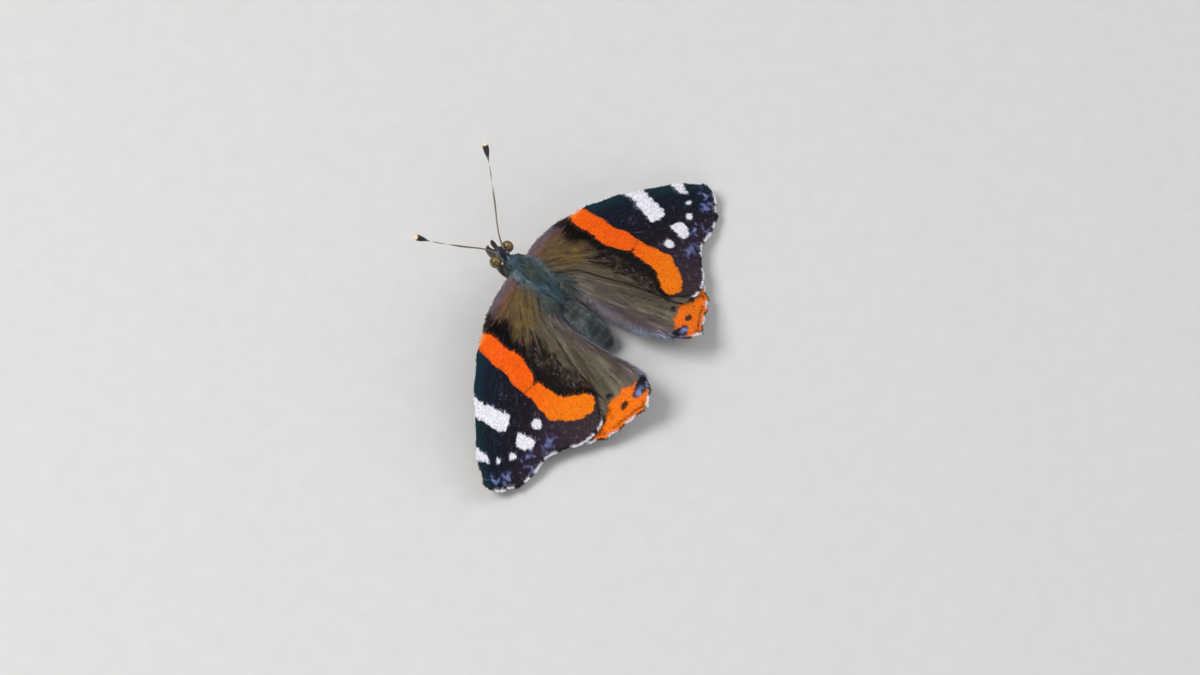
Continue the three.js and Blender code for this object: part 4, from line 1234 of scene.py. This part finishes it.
# Walking legs: across, back, height above the floor and radius. Forelegs: across, along and rise on the body
# and radius
MIDLEG = [
    [0.9, 0.4, 7.2, 0.50], [1.2, 0.0, 5.4, 0.42], [1.6, 0.1, 5.0, 0.28], [3.8, 1.0, 5.9, 0.36],
    [5.6, 1.7, 6.2, 0.24], [5.9, 1.8, 5.9, 0.20], [6.3, 1.7, 3.6, 0.19], [6.7, 1.5, 0.75, 0.20],
    [7.0, 1.1, 0.20, 0.16], [7.4, 0.2, 0.16, 0.15], [7.8, -1.0, 0.14, 0.12],
]
HINDLEG = [
    [0.9, 3.2, 6.4, 0.50], [1.3, 2.9, 4.6, 0.42], [1.7, 3.2, 4.2, 0.28], [3.3, 5.0, 5.3, 0.36],
    [4.6, 6.5, 5.9, 0.24],
    [4.9, 6.9, 5.7, 0.20], [5.8, 9.0, 3.4, 0.19], [6.6, 11.2, 0.95, 0.20], [6.9, 12.2, 0.20, 0.16],
    [7.2, 14.2, 0.16, 0.15], [7.6, 16.2, 0.14, 0.12],
]
FORELEG = [
    [0.62, -1.0, 0.0, 0.30], [0.75, -1.7, -1.6, 0.30], [0.85, -1.9, -2.3, 0.29], [0.85, -1.2, -2.85, 0.25],
    [0.80, -0.2, -3.1, 0.10],
]
# Legs are laid out in LEG_STEPS steps, and the foot starts at a share of the length and has five joints
LEG_STEPS = 200
TARSUS_FROM = 0.66
TARSUS_JOINTS = 5
WALKING_HAIRS = 900
FORELEG_HAIRS = 1100
# How far a walking leg's skin stays above the floor
FLOOR_GAP = 0.02


def make_leg(name, path, radii, share, walking, way):
    tarsus = share > TARSUS_FROM
    joint = np.clip((share - TARSUS_FROM) / (1 - TARSUS_FROM), 0, 1) * TARSUS_JOINTS % 1
    radii = radii * np.where(tarsus & walking, 1 + 0.22 * (joint - 0.5), 1)
    dark, pale = (srgb(92, 74, 54), srgb(146, 122, 88)) if walking else (srgb(62, 60, 54),
                                                                         srgb(112, 102, 84))
    colours = mix(dark, pale, smoothstep(share, 0.2, 0.8)[:, None])
    colours = over(colours, tarsus * (joint > 0.85) * 0.5, srgb(60, 44, 32))
    make_tube(f"{name}_skin", path, radii, 18, LIMB, colours, name, way=way)
    count = WALKING_HAIRS if walking else FORELEG_HAIRS
    at = rng.integers(2, len(path) - 3, count)
    turn = rng.uniform(0, 2 * np.pi, count)
    ahead = unit(np.gradient(path, axis=0))[at]
    side = unit(np.cross(ahead, np.array([0.2, 0.1, 1.0])))
    out = side * np.cos(turn)[:, None] + np.cross(ahead, side) * np.sin(turn)[:, None]
    upper = (share[at] < 0.4) if walking else np.ones(count, bool)
    length = np.where(upper, rng.uniform(0.3, 0.6, count), rng.uniform(0.12, 0.24, count))
    stand = np.where(upper, 0.5, 0.35)[:, None]
    roots = path[at] + out * radii[at, None] * 0.9
    start, finish = unit(ahead + stand * out), unit(ahead + 0.3 * stand * out)
    if walking:
        tip = roots + finish * length[:, None]
        clear = tip[:, 2] > 0.03
    else:
        clear = np.ones(count, bool)
    shade = np.exp(rng.normal(0, 0.22, count))[:, None]
    mesh = tuft_mesh(roots[clear], start[clear], finish[clear], length[clear],
                     rng.uniform(0.03, 0.05, clear.sum()), (colours[at] * shade)[clear],
                     limb_uv(turn, share[at])[clear])
    make_coat_piece(f"{name}_fur", mesh, way, FUR)
    if walking:
        make_spines(name, path, radii, share, way)


def make_spines(name, path, radii, share, way):
    """Two rows of spines under the shin and foot, a pair of spurs at the ankle and a pair of claws."""
    spots = np.concatenate([np.linspace(0.46, 0.64, 7), np.linspace(0.68, 0.95, 12)])
    at = (np.repeat(spots, 2) * (len(path) - 1)).astype(int)
    ahead = unit(np.gradient(path, axis=0))
    sign = np.tile([1.0, -1.0], len(spots))[:, None]
    level = unit(np.cross(ahead[at], np.array([0, 0, 1.0])))
    out = unit(level * sign * 0.9 - np.cross(level, ahead[at]) * 0.1)
    roots = path[at] + out * radii[at, None] * 0.8
    parts = [tuft_mesh(roots, unit(out + 0.6 * ahead[at]), unit(out * 0.6 + ahead[at]),
                       np.full(len(at), 0.26),
                       np.full(len(at), 0.05), np.tile(srgb(40, 28, 20), (len(at), 1)),
                       np.stack([0.5 + 0.25 * sign[:, 0], share[at]], -1))]
    for where, length, thick in ((TARSUS_FROM - 0.01, 0.55, 0.09), (0.985, 0.36, 0.09)):
        k = int(where * (len(path) - 1))
        flat_ahead = unit(ahead[k] * np.array([1, 1, 0.25]))
        level = unit(np.cross(flat_ahead, np.array([0, 0, 1.0])))
        for way_out in (1, -1):
            start = unit(flat_ahead + way_out * 0.45 * level + np.array([0, 0, 0.15]))[None]
            finish = unit(flat_ahead + way_out * 0.1 * level - np.array([0, 0, 0.12]))[None]
            parts.append(tuft_mesh(path[k:k + 1] + way_out * level * radii[k] * 0.5, start, finish, [length],
                                   [thick], srgb(44, 30, 22)[None],
                                   np.array([[0.5 + 0.1 * way_out, where]])))
    mesh = join_parts(parts)
    mesh[0][:, 2] = np.maximum(mesh[0][:, 2], 0.0)
    make_coat_piece(f"{name}_spines", mesh, way, HORN)


def make_legs():
    for kind, points in (("midleg", MIDLEG), ("hindleg", HINDLEG), ("foreleg", FORELEG)):
        walking = kind != "foreleg"
        path = resample(points, LEG_STEPS)
        share = np.linspace(0, 1, LEG_STEPS)
        if walking:
            centre = place(path[:, 0], path[:, 1], path[:, 2] - HINGE_HEIGHT)
            centre[:, 2] = np.maximum(centre[:, 2], path[:, 3] + FLOOR_GAP)
        else:
            centre = on_body(path[:, 0], path[:, 1], path[:, 2])
        for side_name, way in SIDES:
            make_leg(f"{kind}_{side_name}", centre, path[:, 3], share, walking, way)


# Long hair that lies over the roots of the wings

INNER_HAIRS = 4400
EDGE_HAIR_STEP = 0.008
# How far the roots of the forewing's hair stay from the band
BAND_CLEARANCE = 0.9


def make_wing_hair(wing, side_name, way, count, near, far, length, material, paint, spread):
    """Hair that fans out from a wing's root, in the colour of the scales that its outer half covers."""
    turn = rng.uniform(spread[0], spread[1], 4 * count)
    reach = np.sqrt(rng.uniform(near ** 2, far ** 2, 4 * count))
    x = wing.hub[0] + reach * np.cos(turn)
    y = wing.hub[1] + reach * np.sin(turn)
    keep = margin_depth(wing, x, y) > 0.1
    if wing is hind:
        keep &= ~under_forewing(x, y)
    else:
        keep &= np.interp(y, *zip(*BAND_INNER)) - x > BAND_CLEARANCE
    keep &= rng.uniform(0, 1, len(x)) > (reach - near) / (far - near) * 0.7
    x, y = x[keep][:count], y[keep][:count]
    roots, normal, ahead = wing.frame(x, y, 1)
    side = np.cross(normal, ahead)
    lean = rng.normal(0, 0.09, (len(x), 1))
    start = unit(ahead + 0.10 * normal + lean * side)
    finish = unit(ahead + 0.02 * normal + lean * side)
    shade = np.exp(rng.normal(0.06, 0.19, len(x)))[:, None]
    tall = rng.uniform(*length, len(x))
    away = unit(np.stack([x, y], -1) - wing.hub) * tall[:, None] * 0.65
    mesh = tuft_mesh(roots + normal * 0.03, start, finish, tall, rng.uniform(0.032, 0.052, len(x)),
                     paint(x + away[:, 0], y + away[:, 1]) * shade, plan_uv(x, y), 1.1)
    make_coat_piece(f"{wing.name}_{side_name}_hair", mesh, way, material)


def make_edge_hair(side_name, way):
    """Hair that lies over the forewing's hind edge and onto the hindwing."""
    x, y, out = margin_samples(fore, EDGE_HAIR_STEP, (10.1, 21.4), (2.0, 4.2))
    x = x - out[:, 0] * rng.uniform(0.05, 0.7, len(x))
    y = y - out[:, 1] * rng.uniform(0.05, 0.7, len(y))
    roots, normal, ahead = fore.frame(x, y, 1)
    outward = np.stack([out[:, 0], -out[:, 1], np.zeros(len(x))], -1)
    drop = np.array([0, 0, -1.0])
    start = unit(ahead + 0.35 * outward + 0.15 * normal)
    finish = unit(ahead + 0.45 * outward + rng.uniform(0.2, 0.5, (len(x), 1)) * drop)
    grow_tufts(f"forewing_{side_name}_edge_hair", way, FOREWING_SCALES, roots, start, finish,
               (0.8, 1.6), (0.03, 0.05), (0.04, 0.2), paint_fore_top(x, y), plan_uv(x, y))


def make_inner_hair(side_name, way):
    """Long hair that hangs from the hindwing's inner edge against the abdomen."""
    count = INNER_HAIRS
    inner = hind.grid[:, -1]
    back = np.concatenate([rng.uniform(6.5, 11.5, count // 4), rng.uniform(8.5, 24.5, count - count // 4)])
    x = np.interp(back, inner[:, 1], inner[:, 0]) + rng.uniform(0.02, 0.7, count)
    roots = place(x, back, hind.surface(x, back, 1) - 0.02)
    hang = smoothstep(23 - back, 0, 6)[:, None]
    down = np.array([-0.30, 0.0, -0.75]) * hang
    inward = smoothstep(11.5 - back, 0, 2.5)[:, None] * np.array([-0.9, 0.3, 0.0])
    along = np.array([-0.15, -1.0, -0.30]) + inward + rng.normal(0, 0.12, (count, 3))
    start = unit(along + 0.5 * down + np.array([0, 0, 0.25]))
    finish = unit(along + 1.3 * down)
    pale = smoothstep(back, 16.5, 19.0) * smoothstep(rng.uniform(0, 1, count), 0.25, 0.6)
    colours = over(paint_hind_top(x, back), pale * 0.8, srgb(166, 182, 206))
    grow_tufts(f"hindwing_{side_name}_inner_hair", way, HINDWING_SCALES, roots, start, finish,
               (0.9, 1.9), (0.035, 0.055), (0.05, 0.28), colours, plan_uv(x, back))


def make_wing_coats():
    for side_name, way in SIDES:
        make_wing_hair(fore, side_name, way, 6000, 0.2, 10.0, (0.55, 1.2), FOREWING_SCALES, paint_fore_top,
                       (-0.2, 1.9))
        make_wing_hair(hind, side_name, way, 7500, 2.0, 18.5, (0.8, 1.7), HINDWING_SCALES, paint_hind_top,
                       (0.5, 1.8))
        make_edge_hair(side_name, way)
        make_inner_hair(side_name, way)


# Camera, light and floor

VIEW_BACK = Vector((-0.4217, -0.2686, 0.8660))
VIEW_DISTANCE = 1500
VIEW_CENTRE = (-1.72, 15.91, -4.0)
VIEW_WIDTH = 181.8
SENSOR = 36
# Each light's place in metres, size and power
LIGHTS = (
    ("key", (-0.25, 0.35, 0.60), 0.35, 4.6), ("fill", (0.5, -0.3, 0.45), 0.5, 1.6),
    ("rim", (-0.45, -0.45, 0.35), 0.4, 1.2),
)


def make_stage():
    centre = Vector(place(*VIEW_CENTRE) * MM)
    camera = bpy.data.objects.new("camera", bpy.data.cameras.new("camera"))
    bpy.context.scene.collection.objects.link(camera)
    camera.location = centre + VIEW_BACK * VIEW_DISTANCE * MM
    camera.rotation_euler = VIEW_BACK.to_track_quat("Z", "Y").to_euler()
    camera.data.sensor_width = SENSOR
    camera.data.lens = SENSOR * VIEW_DISTANCE / VIEW_WIDTH
    camera.data.clip_start = 0.01
    bpy.context.scene.camera = camera

    bpy.ops.mesh.primitive_plane_add(size=4.0, location=(0, 0, 0))
    floor = bpy.context.object
    floor.name = "floor"
    pale = new_finish("floor_pale", 0.85, 0.0, 3.0, spread=0.02, bump=0.02, colour=srgb(196, 194, 190))
    floor.data.materials.append(pale)

    for name, where, size, power in LIGHTS:
        light = bpy.data.objects.new(name, bpy.data.lights.new(name, "AREA"))
        bpy.context.scene.collection.objects.link(light)
        light.data.size = size
        light.data.energy = power
        light.location = where
        light.rotation_euler = (Vector(where) - centre).to_track_quat("Z", "Y").to_euler()

    world = bpy.data.worlds.new("studio")
    world.use_nodes = True
    sky = world.node_tree.nodes["Background"]
    sky.inputs["Color"].default_value = (0.86, 0.90, 1.0, 1)
    sky.inputs["Strength"].default_value = 0.45
    bpy.context.scene.world = world
    bpy.context.scene.view_settings.view_transform = "Standard"


make_stage()
make_wings()
make_wing_coats()
make_body()
make_coat()
make_eyes()
make_antennae()
make_mouth()
make_legs()
